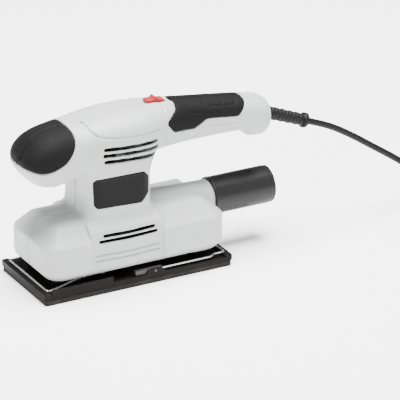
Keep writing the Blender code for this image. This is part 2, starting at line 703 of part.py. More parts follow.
def make_housing():
    shell = housing()
    pad, pocket = inlay(head, PALM_PAD_OUTLINE, -60 * MM, 60 * MM, RUBBER)
    cut(shell, pocket)
    node("palm_pad", pad, "black_rubber")
    grip, pocket = inlay(head, GRIP_OUTLINE, -60 * MM, 60 * MM, RUBBER)
    cut(shell, pocket)
    for side, name in ((LEFT, "left"), (RIGHT, "right")):
        ys = sorted((side * 0.5 * GAP, side * 80 * MM))
        half = box((-0.2, ys[0], -0.1), (0.3, ys[1], 0.3))
        node(f"handle_grip_{name}", cross(copy_of(grip), half), "black_rubber")
        ys = sorted((side * 20 * MM, side * 60 * MM))
        label, pocket = inlay(column, label_outline(), *ys, 0.9 * MM)
        cut(shell, pocket)
        node(f"label_plate_{name}", label, "label")
    discard(grip)
    for side, name in ((LEFT, "left"), (RIGHT, "right")):
        ys = sorted((side * 0.5 * GAP, side * 80 * MM))
        half = cross(copy_of(shell), box((-0.2, ys[0], -0.1), (0.3, ys[1], 0.3)))
        node(f"housing_{name}", half, "light_grey")
    discard(shell)


def screw(name, start, end, head_height, radius, head_radius, parent=None):
    """A screw whose head starts at start and whose tip is at end, with a hexagonal socket."""
    start, end = Vector(start), Vector(end)
    along = (end - start).normalized()
    seat = start + along * head_height
    body = union(cylinder(start, seat, head_radius, 12), cylinder(seat - along * 0.2 * MM, end, radius, 8))
    cut(body, cylinder(start - along * MM, start + along * head_height * 0.6, head_radius * 0.5, 6))
    return node(name, body, "steel", parent)


def make_housing_screws():
    for i, (x, z, rim) in enumerate(SCREWS):
        seat = rim - SCREW_SINK + GAP
        start = (x, seat + SCREW_HEAD_HEIGHT, z)
        end = x, -SCREW_REACH, z
        screw(f"housing_screw_{i + 1}", start, end, SCREW_HEAD_HEIGHT, SCREW_RADIUS, SCREW_HEAD_RADIUS)


# Switch


def make_switch():
    axis = empty("switch_slide", (SWITCH_X, 0, SWITCH_TOP_Z))
    half = SLIDER_LENGTH / 2
    floor = -RECESS_DEPTH + GAP
    profile = [
        (-half, floor), (half, floor), (half, 1.2 * MM), (2 * MM, 1.4 * MM), (0, 4.4 * MM),
        (-2.5 * MM, 1.8 * MM), (-half, 1.2 * MM),
    ]
    slider = prism(profile, -SLIDER_WIDTH / 2, SLIDER_WIDTH / 2)
    half_neck = NECK_LENGTH / 2, NECK_WIDTH / 2
    union(slider, box((-half_neck[0], -half_neck[1], -7 * MM), (*half_neck, floor + MM)))
    slider.data.transform(Matrix.Translation(axis.location) @ Matrix.Rotation(SWITCH_TILT, 4, "Y"))
    node("switch_button", slider, "red_plastic", axis)
    base = switch_frame((-14 * MM, -8 * MM, -24 * MM), (14 * MM + SWITCH_TRAVEL, 8 * MM, -7.5 * MM))
    union(base, switch_frame((-12 * MM, -2 * MM, -30 * MM), (-10.8 * MM, 2 * MM, -23 * MM)))
    union(base, switch_frame((8 * MM, -2 * MM, -30 * MM), (9.2 * MM, 2 * MM, -23 * MM)))
    node("switch_module", base, "black_plastic")


# Motor


def make_stator():
    top = STATOR_BOTTOM + STATOR_HEIGHT
    core = ring((MOTOR_X, 0), STATOR_RADIUS, ARMATURE_RADIUS + AIR_GAP, STATOR_BOTTOM, top, 32)
    low_end, high_end = STATOR_BOTTOM - 5 * MM, top + 5 * MM
    for side, number in ((LEFT, 1), (RIGHT, 2)):
        ys = sorted((side * 15.8 * MM, side * 18.4 * MM))
        x = MOTOR_X
        coil = box((x - 12.2 * MM, ys[0], low_end), (x + 12.2 * MM, ys[1], high_end))
        window = box((x - 8.6 * MM, ys[0] - MM, STATOR_BOTTOM - GAP), (x + 8.6 * MM, ys[1] + MM, top + GAP))
        cut(coil, window)
        node(f"field_coil_{number}", coil, "copper")
        for sign in (-1, 1):
            xs = sorted((x + sign * 8.3 * MM, x + sign * 12.5 * MM))
            cut(core, box((xs[0], ys[0] - GAP, 0), (xs[1], ys[1] + GAP, 0.2)))
    node("stator_core", core, "core_steel")


def make_rotor():
    motor = (MOTOR_X, 0)
    axis = empty("rotor_spin", (MOTOR_X, 0, 90 * MM))
    inner = SHAFT_RADIUS + GAP
    top = STATOR_BOTTOM + STATOR_HEIGHT
    shaft = cylinder((*motor, SHAFT_BOTTOM - 6 * MM), (*motor, SHAFT_TOP), SHAFT_RADIUS, 16)
    node("rotor_shaft", shaft, "steel", axis)
    sleeve = inner + 1.2 * MM
    core = ring(motor, ARMATURE_RADIUS, sleeve + GAP, STATOR_BOTTOM + GAP, top - GAP, 32)
    node("armature_core", core, "core_steel", axis)
    low, high = STATOR_BOTTOM - WINDING_HEIGHT, top + WINDING_HEIGHT
    profile = [
        (inner, low), (WINDING_RADIUS, low), (WINDING_RADIUS, STATOR_BOTTOM), (sleeve, STATOR_BOTTOM),
        (sleeve, top), (WINDING_RADIUS, top), (WINDING_RADIUS, high), (inner, high),
    ]
    node("armature_winding", turned(profile, motor, 24), "copper", axis)
    end = COMMUTATOR_BOTTOM + COMMUTATOR_HEIGHT
    node("commutator", ring(motor, COMMUTATOR_RADIUS, inner, COMMUTATOR_BOTTOM, end, 24), "copper", axis)
    node("fan", fan(inner), "black_plastic", axis)
    node("eccentric", eccentric(), "zinc", axis)
    return axis


def fan(inner):
    """A disc with its blades below it and a hub on the shaft."""
    motor = (MOTOR_X, 0)
    disc = FAN_BOTTOM + FAN_BLADE_HEIGHT
    body = cylinder((*motor, disc), (*motor, disc + FAN_DISC), FAN_RADIUS, 32)
    union(body, cylinder((*motor, FAN_BOTTOM), (*motor, disc + FAN_DISC), FAN_HUB_RADIUS, 16))
    for i in range(FAN_BLADES):
        low = (14 * MM, -0.8 * MM, FAN_BOTTOM + GAP)
        blade = box(low, (FAN_RADIUS - MM, 0.8 * MM, disc + FAN_DISC / 2))
        turn = Matrix.Rotation(2 * math.pi * i / FAN_BLADES, 4, "Z")
        blade.data.transform(Matrix.Translation((*motor, 0)) @ turn)
        union(body, blade)
    return cut(body, cylinder((*motor, 0), (*motor, 0.1), inner, 16))


def eccentric():
    """The hub under the shaft with its counterweight, and the pin that is off the shaft's axis."""
    motor = (MOTOR_X, 0)
    pin = (MOTOR_X + ORBIT_RADIUS, 0)
    bottom = ECCENTRIC_TOP - COUNTERWEIGHT_THICKNESS
    body = cylinder((*motor, HUB_TOP + MM), (*motor, ECCENTRIC_TOP), 9 * MM, 24)
    weight = cylinder((*motor, bottom), (*motor, ECCENTRIC_TOP), COUNTERWEIGHT_RADIUS, 32)
    keep = box((MOTOR_X - 0.1, -0.1, 0), (MOTOR_X - 4 * MM, 0.1, 0.1))
    union(body, cross(weight, keep))
    union(body, cylinder((*pin, PLATEN_BEARING_BOTTOM), (*pin, HUB_TOP + 2 * MM), PIN_RADIUS, 16))
    cut(body, cylinder((*motor, SHAFT_BOTTOM - 6 * MM - GAP), (*motor, 0.1), SHAFT_RADIUS + GAP, 16))
    return cut(body, cylinder((*pin, 0), (*pin, HUB_TOP + 2 * MM), 1.5 * MM + GAP, 12))


def make_motor_fittings():
    motor = (MOTOR_X, 0)
    top = LOWER_BEARING_BOTTOM + BEARING_WIDTH
    node("bearing_lower", ring(motor, BEARING_OUTER, BEARING_INNER, LOWER_BEARING_BOTTOM, top), "steel")
    top = UPPER_BEARING_BOTTOM + UPPER_BEARING_WIDTH
    node("bearing_upper", ring(motor, UPPER_BEARING_OUTER, BEARING_INNER, UPPER_BEARING_BOTTOM, top), "steel")
    z = COMMUTATOR_BOTTOM + COMMUTATOR_HEIGHT / 2
    for side, number in ((LEFT, 1), (RIGHT, 2)):
        ys = sorted((side * (COMMUTATOR_RADIUS + GAP), side * 23 * MM))
        brush = box((MOTOR_X - 3 * MM, ys[0], z - 3 * MM), (MOTOR_X + 3 * MM, ys[1], z + 3 * MM))
        node(f"carbon_brush_{number}", brush, "carbon")
        ys = sorted((side * (COMMUTATOR_RADIUS + 1.5 * MM), side * 26 * MM))
        holder = box((MOTOR_X - 4.5 * MM, ys[0], z - 4.5 * MM), (MOTOR_X + 4.5 * MM, ys[1], z + 4.5 * MM))
        bore = 3 * MM + GAP
        ys = sorted((0, side * (23 * MM + GAP)))
        cut(holder, box((MOTOR_X - bore, ys[0], z - bore), (MOTOR_X + bore, ys[1], z + bore)))
        cut(holder, cylinder((MOTOR_X, 0, z), (MOTOR_X, side * 40 * MM, z), 2 * MM, 12))
        node(f"brush_holder_{number}", holder, "brass")


def make_fan_baffle():
    """The plate under the fan with the volute's wall, open towards the dust outlet."""
    motor = (MOTOR_X, 0)
    half = SKIRT_HALF_WIDTH - SIDE_PANEL_DEPTH - 3.2 * MM
    low, high = FAN_BOTTOM - 2.2 * MM, FAN_BOTTOM - 0.6 * MM
    plate = rounded_box((MOTOR_X - 42 * MM, -half, low), (MOTOR_X + 42 * MM, half, high), 10 * MM)
    wall_top = LOWER_BEARING_BOTTOM - 4 * MM
    union(plate, ring(motor, FAN_RADIUS + 3.4 * MM, FAN_RADIUS + 1.8 * MM, low + MM, wall_top, 32))
    cut(plate, cylinder((*motor, 0), (*motor, high + MM), COUNTERWEIGHT_RADIUS + 1.2 * MM, 32))
    cut(plate, box((MOTOR_X + 5 * MM, -12 * MM, high), (0.1, 12 * MM, 0.1)))
    node("fan_baffle", plate, "black_plastic")


# Platen


def make_platen(rotor):
    pin = (MOTOR_X + ORBIT_RADIUS, 0)
    axis = empty("platen_orbit", (*pin, 20 * MM), rotor)
    base = SOLE_THICKNESS
    top = base + DECK_FLOOR
    half_x, half_y = SOLE_LENGTH / 2 + DECK_OVERHANG, SOLE_WIDTH / 2
    sole = rounded_box((-SOLE_LENGTH / 2, -half_y, 0), (SOLE_LENGTH / 2, half_y, base - GAP), 3 * MM, 3)
    deck = rounded_box((-half_x, -half_y, base), (half_x, half_y, top), 3 * MM, 3)
    for s in (-1, 1):
        xs = sorted((s * half_x, s * (half_x - DECK_END_RIM_DEPTH)))
        rim = base + DECK_END_RIM_HEIGHT
        union(deck, rounded_box((xs[0], -half_y, base + MM), (xs[1], half_y, rim), 1.5 * MM, 2))
        inner = s * (half_y - DECK_RAIL_WIDTH)
        ys = sorted((s * half_y, inner))
        rail = base + DECK_RAIL_HEIGHT
        union(deck, box((-half_x + 4 * MM, ys[0], base + MM), (half_x - 4 * MM, ys[1], rail)))
        start = s * (half_x - DECK_WALL_START)
        xs = sorted((start, start - s * DECK_WALL_LENGTH))
        union(deck, box((xs[0], ys[0], base + MM), (xs[1], ys[1], base + DECK_WALL_HEIGHT)))
        ear_x = -s * CLAMP_PIVOT_X
        ear = cylinder((ear_x, ys[0], base + 0.4 * MM), (ear_x, ys[1], base + 0.4 * MM), EAR_RADIUS, 18)
        union(deck, cross(ear, box((-0.1, -0.1, base + 0.5 * MM), (0.1, 0.1, base + EAR_TOP))))
        ends = (ear_x, inner - s * MM, CLAMP_Z), (ear_x, s * (half_y + MM), CLAMP_Z)
        hole = cylinder(*ends, TRUNNION_RADIUS + GAP, 14)
        cut(deck, hole)
        lug_y = sorted((s * (CLAMP_INNER_Y - CLAMP_PIN_LENGTH - MM), s * (CLAMP_INNER_Y - 2 * MM)))
        lug = box((-ear_x - 3.5 * MM, lug_y[0], base + MM), (-ear_x + 3.5 * MM, lug_y[1], CLAMP_Z + 3.5 * MM))
        ends = (-ear_x, s * (CLAMP_INNER_Y - 12 * MM), CLAMP_Z), (-ear_x, s * CLAMP_INNER_Y, CLAMP_Z)
        lug_hole = cylinder(*ends, WIRE_DIAMETER / 2 + GAP, 14)
        union(deck, cut(lug, lug_hole))
    profile = [
        (3 * MM, top - MM), (HUB_RADIUS, top - MM), (HUB_RADIUS, HUB_TOP), (BEARING_OUTER + GAP, HUB_TOP),
        (BEARING_OUTER + GAP, PLATEN_BEARING_BOTTOM - GAP), (8 * MM, PLATEN_BEARING_BOTTOM - GAP),
        (8 * MM, top + 0.5 * MM), (3 * MM, top + 0.5 * MM),
    ]
    union(deck, turned(profile, pin, 20))
    cut(deck, cylinder((*pin, 0), (*pin, top + 2 * MM), 6.5 * MM, 16))
    cut(sole, cylinder((*pin, -MM), (*pin, top), 6.5 * MM, 16))
    for sx in (-1, 1):
        for x in DUST_HOLE_X:
            for sy in (-1, 1):
                ends = (sx * x, sy * DUST_HOLE_Y, -MM), (sx * x, sy * DUST_HOLE_Y, top + MM)
                cut(deck, cylinder(*ends, DUST_HOLE_RADIUS, 10))
                cut(sole, cylinder(*ends, DUST_HOLE_RADIUS, 10))
    for i, (x, y) in enumerate(pillar_places()):
        boss_top = top + 3 * MM
        union(deck, cylinder((x, y, top - MM), (x, y, boss_top), PILLAR_RADIUS + 1.5 * MM, 16))
        cut(deck, cylinder((x, y, 0), (x, y, 0.1), 1.5 * MM + GAP, 12))
        cut(deck, cylinder((x, y, 0), (x, y, base + 2.6 * MM), 3 * MM + GAP, 14))
        pillar = cylinder((x, y, boss_top + GAP), (x, y, PILLAR_TOP), PILLAR_RADIUS, 16)
        cut(pillar, cylinder((x, y, 0), (x, y, boss_top + 9 * MM), 1.5 * MM + GAP, 12))
        node(f"pillar_{i + 1}", pillar, "black_rubber", axis)
        start = (x, y, base + GAP)
        screw(f"pillar_screw_{i + 1}", start, (x, y, boss_top + 8 * MM), 2 * MM, 1.5 * MM, 3 * MM, axis)
    node("platen_deck", deck, "black_plastic", axis)
    node("sole_pad", sole, "foam", axis)
    bearing_top = PLATEN_BEARING_BOTTOM + BEARING_WIDTH
    bearing = ring(pin, BEARING_OUTER, BEARING_INNER, PLATEN_BEARING_BOTTOM, bearing_top)
    node("platen_bearing", bearing, "steel", axis)
    head_top = PLATEN_BEARING_BOTTOM - GAP
    start = (*pin, head_top - 3 * MM)
    screw("platen_screw", start, (*pin, HUB_TOP), 3 * MM, 1.5 * MM, 5.5 * MM, rotor)
    return axis


# Paper clamps


def filleted(points, radius, steps=4):
    """A broken line in XY whose corners are arcs."""
    line = [Vector(points[0])]
    for before, here, after in zip(points, points[1:], points[2:]):
        before, here, after = Vector(before), Vector(here), Vector(after)
        u, v = (before - here).normalized(), (after - here).normalized()
        half = math.acos(max(-1, min(1, u.dot(v)))) / 2
        middle = here + (u + v).normalized() * radius / math.sin(half)
        a, b = here + u * radius / math.tan(half) - middle, here + v * radius / math.tan(half) - middle
        for i in range(steps + 1):
            t = i / steps
            line.append(middle + (a * (1 - t) + b * t).normalized() * radius)
    line.append(Vector(points[-1]))
    return line


def tube(name, points, diameter, colour, resolution, parent=None):
    """A round wire or cord along points, with closed ends."""
    curve = bpy.data.curves.new(name, "CURVE")
    curve.dimensions = "3D"
    curve.bevel_depth = diameter / 2
    curve.bevel_resolution = resolution
    curve.use_fill_caps = True
    spline = curve.splines.new("POLY")
    spline.points.add(len(points) - 1)
    offset = world_place(parent) if parent else Vector()
    for point, place in zip(spline.points, points):
        point.co = (*(Vector(place) - offset), 1)
    made = bpy.data.objects.new(name, curve)
    bpy.context.collection.objects.link(made)
    curve.materials.append(material(colour))
    made.parent = parent
    return made


def make_clamp(name, turn, platen):
    """One wire clamp with its finger tab, as on the rear end, turned by 1 or -1 for the rear or front."""
    axis = empty(f"{name}_lift", (turn * CLAMP_PIVOT_X, 0, CLAMP_Z), platen)
    outline = [
        (CLAMP_PIVOT_X, CLAMP_INNER_Y - CLAMP_PIN_LENGTH), (CLAMP_PIVOT_X, CLAMP_INNER_Y),
        (CLAMP_BAR_X - CLAMP_SPREAD_LENGTH, CLAMP_INNER_Y), (CLAMP_BAR_X, CLAMP_INNER_Y + CLAMP_SPREAD),
        (CLAMP_BAR_X, -CLAMP_OUTER_Y + CLAMP_JOG), (CLAMP_BAR_X - 10.5 * MM, -CLAMP_OUTER_Y + CLAMP_JOG),
        (CLAMP_BAR_X - 16 * MM, -CLAMP_OUTER_Y), (CLAMP_PIVOT_X + 4 * MM, -CLAMP_OUTER_Y),
    ]
    line = [(turn * p.x, turn * p.y, CLAMP_Z) for p in filleted(outline, CLAMP_BEND)]
    tube(f"{name}_wire", line, WIRE_DIAMETER, "steel", 1, axis)
    y = -CLAMP_OUTER_Y
    outer = -SOLE_WIDTH / 2 + DECK_RAIL_WIDTH + GAP
    low = (CLAMP_PIVOT_X - TAB_REACH, outer, CLAMP_Z - TAB_HEIGHT / 2)
    high = (CLAMP_PIVOT_X - TAB_REACH + TAB_LENGTH, outer + TAB_WIDTH, CLAMP_Z + TAB_HEIGHT / 2)
    tab = box(low, high)
    end = (CLAMP_PIVOT_X + 30 * MM, y, CLAMP_Z)
    cut(tab, cylinder((CLAMP_PIVOT_X + 4 * MM - GAP, y, CLAMP_Z), end, WIRE_DIAMETER / 2 + GAP, 12))
    ends = (CLAMP_PIVOT_X, -SOLE_WIDTH / 2, CLAMP_Z), (CLAMP_PIVOT_X, outer + MM, CLAMP_Z)
    union(tab, cylinder(*ends, TRUNNION_RADIUS, 14))
    if turn < 0:
        tab.data.transform(Matrix.Rotation(math.pi, 4, "Z"))
    node(f"{name}_tab", tab, "core_steel", axis)


# Dust tube and cord


def make_dust_tube():
    start = COLLAR_END + GAP
    axis = empty("dust_tube_slide", (start, 0, DUCT_Z))
    body = cylinder((start, 0, DUCT_Z), (start + TUBE_LENGTH, 0, DUCT_Z), TUBE_RADIUS, 32)
    ends = (start - MM, 0, DUCT_Z), (start + TUBE_LENGTH + MM, 0, DUCT_Z)
    cut(body, cylinder(*ends, SPIGOT_RADIUS + 0.4 * MM, 32))
    node("dust_tube", body, "black_rubber", axis)


def smooth_line(route, start, step):
    """Points a step apart on a smooth curve from start through the route."""
    knots = [Vector(start)] + [Vector(p) for p in route]
    knots = [2 * knots[0] - knots[1]] + knots + [2 * knots[-1] - knots[-2]]
    fine = []
    for a, b, c, d in zip(knots, knots[1:], knots[2:], knots[3:]):
        for i in range(20):
            t = i / 20
            square, cube = 2 * a - 5 * b + 4 * c - d, 3 * b - a - 3 * c + d
            fine.append(0.5 * (2 * b + (c - a) * t + square * t**2 + cube * t**3))
    fine.append(knots[-2])
    count = max(2, round(sum((q - p).length for p, q in zip(fine, fine[1:])) / step))
    length = sum((q - p).length for p, q in zip(fine, fine[1:]))
    points, run = [fine[0]], 0.0
    for p, q in zip(fine, fine[1:]):
        run += (q - p).length
        if run >= length * len(points) / count - 1e-9:
            points.append(q)
    points[-1] = fine[-1]
    return points


def make_cord():
    ends = cord_point(SLEEVE_START), cord_point(SLEEVE_LENGTH)
    sleeve = union(
        cylinder(*ends, SLEEVE_RADIUS, 18, SLEEVE_RADIUS - 0.8 * MM),
        cylinder(cord_point(FLANGE_START), cord_point(FLANGE_END), SLEEVE_FLANGE_RADIUS, 18),
        cylinder(cord_point(SLEEVE_LENGTH - 3 * MM), cord_point(SLEEVE_LENGTH), SLEEVE_RADIUS + MM, 18),
    )
    bore = CORD_DIAMETER / 2 + GAP
    cut(sleeve, cylinder(cord_point(-20 * MM), cord_point(SLEEVE_LENGTH + MM), bore, 16))
    node("cord_sleeve", sleeve, "black_rubber")
    lead = cylinder(cord_point(-26 * MM), cord_point(SLEEVE_LENGTH - GAP), CORD_DIAMETER / 2, 12)
    node("cord_lead", lead, "black_plastic")
    centre = CLAMP_PLATE_AT
    end = CLAMP_PLATE_SCREW + 2.4 * MM
    low, high = centre - 3 * MM, centre + 3 * MM
    corners = [(low, -end), (high, -end), (high, end), (low, end)]
    depths = CORD_DIAMETER / 2 + GAP, CLAMP_PLATE_TOP
    plate = loft([[cord_point(u, v, y) for u, v in corners] for y in depths])
    for across in (-CLAMP_PLATE_SCREW, CLAMP_PLATE_SCREW):
        ends = cord_point(centre, across, GAP), cord_point(centre, across, 5 * MM)
        union(plate, cylinder(*ends, 2.3 * MM, 12))
    for i, across in enumerate((-CLAMP_PLATE_SCREW, CLAMP_PLATE_SCREW)):
        ends = cord_point(centre, across, 0), cord_point(centre, across, 20 * MM)
        cut(plate, cylinder(*ends, 1.2 * MM + GAP, 10))
        start = cord_point(centre, across, CLAMP_PLATE_TOP + GAP + 1.6 * MM)
        end = cord_point(centre, across, -8 * MM)
        screw(f"cord_clamp_screw_{i + 1}", start, end, 1.6 * MM, 1.2 * MM, 2.4 * MM)
    node("cord_clamp", plate, "black_plastic")
    start = cord_point(SLEEVE_LENGTH + GAP)
    line = smooth_line(CORD_ROUTE, start, 2.3 * CORD_DIAMETER)
    tube("cord", line, CORD_DIAMETER, "black_plastic", 2)
    half = CORD_DIAMETER / 2
    outer, inner, top = COIL_OUTER_TURN + half, COIL_INNER_TURN - half, COIL_HEIGHT
    profile = [
        (inner, half), (inner + half, 0), (outer - half, 0), (outer, half),
        (outer, top - half), (outer - half, top), (inner + half, top), (inner, top - half),
    ]
    node("cord_coil", turned(profile, COIL_CENTRE, 24), "black_plastic")
    line = smooth_line(TAIL_ROUTE[1:], TAIL_ROUTE[0], 2 * CORD_DIAMETER)
    tube("cord_tail", line, CORD_DIAMETER, "black_plastic", 2)


def make_plug():
    """A flat-sided two-pin plug that lies on the coil, its pins towards the rear."""
    x, y, z = TAIL_ROUTE[-1]
    start = x + 3 * GAP
    stations = [
        (0, 5 * MM, 5 * MM), (8 * MM, 5.6 * MM, 5.6 * MM), (13 * MM, 12 * MM, 8 * MM),
        (18 * MM, 15.5 * MM, 9 * MM), (28 * MM, 16 * MM, 11 * MM),
        (33 * MM, PLUG_HALF_WIDTH, PLUG_HALF_HEIGHT),
        (PLUG_LENGTH, PLUG_HALF_WIDTH, PLUG_HALF_HEIGHT),
    ]
    rings = []
    for along, half_y, half_z in stations:
        outline = rounded_outline(0, z, half_y, half_z, min(half_y, half_z) * 0.75, 3)
        rings.append([Vector((start + along, y - u, v)) for u, v in outline])
    node("plug_body", loft(rings), "black_plastic")
    face = start + PLUG_LENGTH + GAP
    for i, side in enumerate((-1, 1)):
        pin_y = y + side * PIN_SPACING / 2
        pin = cylinder((face, pin_y, z), (face + PIN_LENGTH, pin_y, z), PIN_DIAMETER / 2, 12)
        node(f"plug_pin_{i + 1}", pin, "brass")


def main():
    for old in list(bpy.data.objects):
        bpy.data.objects.remove(old)
    make_housing()
    make_housing_screws()
    make_switch()
    make_stator()
    make_motor_fittings()
    make_fan_baffle()
    rotor = make_rotor()
    platen = make_platen(rotor)
    make_clamp("rear_clamp", 1, platen)
    make_clamp("front_clamp", -1, platen)
    make_dust_tube()
    make_cord()
    make_plug()


main()
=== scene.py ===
"""Looks of the corded sheet sander: moulded shell, soft grips, sole, clamps, cord and a soft studio."""

import json
import math

import bmesh
import bpy
import numpy as np
from mathutils import Matrix, Vector

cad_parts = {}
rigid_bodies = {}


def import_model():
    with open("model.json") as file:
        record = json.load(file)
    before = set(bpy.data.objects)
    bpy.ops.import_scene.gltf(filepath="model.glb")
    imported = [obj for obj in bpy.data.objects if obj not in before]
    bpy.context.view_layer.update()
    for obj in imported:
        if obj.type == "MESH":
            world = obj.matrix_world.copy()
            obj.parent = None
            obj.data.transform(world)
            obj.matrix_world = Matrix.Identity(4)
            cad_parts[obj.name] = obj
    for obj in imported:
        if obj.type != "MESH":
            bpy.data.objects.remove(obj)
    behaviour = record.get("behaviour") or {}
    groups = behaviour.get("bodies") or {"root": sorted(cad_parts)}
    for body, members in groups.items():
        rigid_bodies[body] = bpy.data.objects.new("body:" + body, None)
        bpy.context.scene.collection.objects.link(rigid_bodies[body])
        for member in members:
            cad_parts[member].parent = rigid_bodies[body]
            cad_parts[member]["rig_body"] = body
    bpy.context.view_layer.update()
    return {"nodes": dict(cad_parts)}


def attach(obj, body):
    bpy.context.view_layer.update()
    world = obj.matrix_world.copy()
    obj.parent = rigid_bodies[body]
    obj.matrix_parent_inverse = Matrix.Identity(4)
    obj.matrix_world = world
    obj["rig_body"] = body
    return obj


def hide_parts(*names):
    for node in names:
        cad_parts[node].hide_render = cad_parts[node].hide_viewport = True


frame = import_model()

MM = 0.001
MOTOR_X = -9.0  # mm, as every shape here until it becomes a mesh
CORD_DIAMETER = 0.0062


# Camera


def add_camera():
    """A long lens that looks down at the sander's front and left side."""
    azimuth, elevation, distance = 0.4963, 0.4094, 3.1839  # radians, and metres from what it looks at
    level = math.cos(elevation)
    back = Vector((-math.sin(azimuth) * level, -math.cos(azimuth) * level, math.sin(elevation)))
    right = Vector((math.cos(azimuth), -math.sin(azimuth), 0.0))
    up = back.cross(right)
    camera = bpy.data.objects.new("camera", bpy.data.cameras.new("camera"))
    bpy.context.scene.collection.objects.link(camera)
    camera.data.lens = 315
    camera.data.sensor_width = 36
    camera.data.clip_end = 20
    place = Vector((0.08514, 0, 0.04896)) + back * distance
    turn = Matrix((right, up, back)).transposed().to_4x4()
    camera.matrix_world = Matrix.Translation(place) @ turn
    bpy.context.scene.camera = camera


add_camera()


# Cord

CORD_EXIT = (151.0, 0.0, 123.2)  # mm, where the lead leaves the handle
CORD_DROP = math.radians(21.4)  # of the protector below level
GUARD_AXIS = Vector((math.cos(CORD_DROP), 0, -math.sin(CORD_DROP)))
SLEEVE_END = Vector((0.151, 0, 0.1232)) + GUARD_AXIS * 0.0468
COIL_CENTRE = (0.380, -0.046)  # metres, as the rest of the cord
COIL_OUTER_TURN = 0.046
CORD_PITCH = 0.0064
TURNS_IN, TURNS_UP = 3, 0.5  # on the floor inwards, and up to the upper layer, which has TURNS_IN as well
CORD_ROUTE = [
    (0.2210, 0.0, 0.0952), (0.2430, 0.0, 0.0825), (0.2650, 0.0, 0.0678), (0.2948, 0.0, 0.0475),
    (0.3140, 0.0, 0.0325), (0.3290, 0.0, 0.0197), (0.3405, 0.0, 0.0103), (0.3490, 0.0, 0.0052),
    (0.3560, 0.0, 0.0033),
]
TAIL_ROUTE = [
    (0.3645, -0.0920, 0.0096), (0.3520, -0.0887, 0.0108), (0.3428, -0.0795, 0.0128), (0.3395, -0.0670, 0.0148),
    (0.3395, -0.0590, 0.0159), (0.3395, -0.0510, 0.0170), (0.3428, -0.0385, 0.0198), (0.3520, -0.0294, 0.0232),
    (0.3585, -0.0268, 0.0248), (0.3650, -0.0260, 0.0257),
]


def coil_points():
    """Three turns inwards on the floor, half a turn up and three turns outwards, clockwise from above.

    The angle runs from the centre's +Y side, and the radius changes by one pitch a turn."""
    turns = np.arange(0, 2 * TURNS_IN + TURNS_UP + 1e-9, 1 / 28)
    inwards, outwards = np.clip(turns, 0, TURNS_IN), np.clip(turns - TURNS_IN - TURNS_UP, 0, TURNS_IN)
    radius = COIL_OUTER_TURN - CORD_PITCH * inwards + CORD_PITCH * outwards
    rise = np.clip((turns - TURNS_IN) / TURNS_UP, 0, 1)
    z = CORD_DIAMETER * (0.5 + rise * rise * (3 - 2 * rise))
    angle = math.pi / 2 - 2 * math.pi * turns
    return np.stack([COIL_CENTRE[0] + radius * np.cos(angle), COIL_CENTRE[1] + radius * np.sin(angle), z], axis=1)


def cubic_spans(p, steps):
    """Points on the Catmull-Rom cubic of every span but the first and last, steps to a span."""
    t = (np.arange(steps) / steps)[None, :, None]
    a, b, c, d = (q[:, None, :] for q in (p[:-3], p[1:-2], p[2:-1], p[3:]))
    fine = 0.5 * (2 * b + (c - a) * t + (2 * a - 5 * b + 4 * c - d) * t**2 + (3 * b - a - 3 * c + d) * t**3)
    return fine.reshape(-1, p.shape[1])


def smooth_line(points, steps):
    """A smooth line through points, with steps stretches between each pair."""
    p = np.asarray(points, float)
    p = np.vstack([2 * p[0] - p[1], p, 2 * p[-1] - p[-2]])
    return np.vstack([cubic_spans(p, steps), p[-2]])


def cord_line():
    """The whole lead: out of the protector, down to the floor, round the coil and up into the plug."""
    free = smooth_line([tuple(SLEEVE_END)] + CORD_ROUTE + [(0.3700, 0.0, CORD_DIAMETER / 2)], 4)
    coil = coil_points()
    return np.vstack([free, coil, smooth_line([tuple(coil[-1])] + TAIL_ROUTE, 4)[1:]])


def add_cord(material):
    """The lead as one curve: a round section of its own diameter carried along cord_line()."""
    line = cord_line()
    curve = bpy.data.curves.new("supply_cord", "CURVE")
    curve.dimensions = "3D"
    curve.bevel_depth = CORD_DIAMETER / 2
    curve.bevel_resolution = 5
    curve.use_fill_caps = True
    spline = curve.splines.new("POLY")
    spline.points.add(len(line) - 1)
    spline.points.foreach_set("co", np.hstack([line, np.ones((len(line), 1))]).ravel())
    cord = bpy.data.objects.new("supply_cord", curve)
    bpy.context.scene.collection.objects.link(cord)
    curve.materials.append(material)
    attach(cord, "housing")
    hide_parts("cord", "cord_coil", "cord_tail")


# Shapes worked out on a lattice. All of them are in millimetres until mesh_of() writes them in metres.


def lattice(low, high, step):
    """The X, Y and Z of a block of points a step apart, as arrays that broadcast against each other."""
    axes = [np.arange(a, b + step, step, dtype=np.float32) for a, b in zip(low, high)]
    return np.meshgrid(*axes, indexing="ij", sparse=True)


def evened(field, step):
    """A field divided by the length of its own slope, so that near its zero it reads as a distance."""
    slope = np.sqrt(sum(g * g for g in np.gradient(field, step)))
    return field / np.maximum(slope, 0.15)


def joined(a, b, blend):
    """The smaller of two distances, with a round fillet of about blend where they cross."""
    h = np.clip(0.5 + 0.5 * (b - a) / blend, 0, 1)
    return b + (a - b) * h - blend * h * (1 - h)


def kept(a, b, blend):
    """The larger of two distances, with a rounded edge."""
    return -joined(-a, -b, blend)


def less(body, hole, blend):
    """A body without a hole, the hole's rim rounded."""
    return kept(body, -hole, blend)


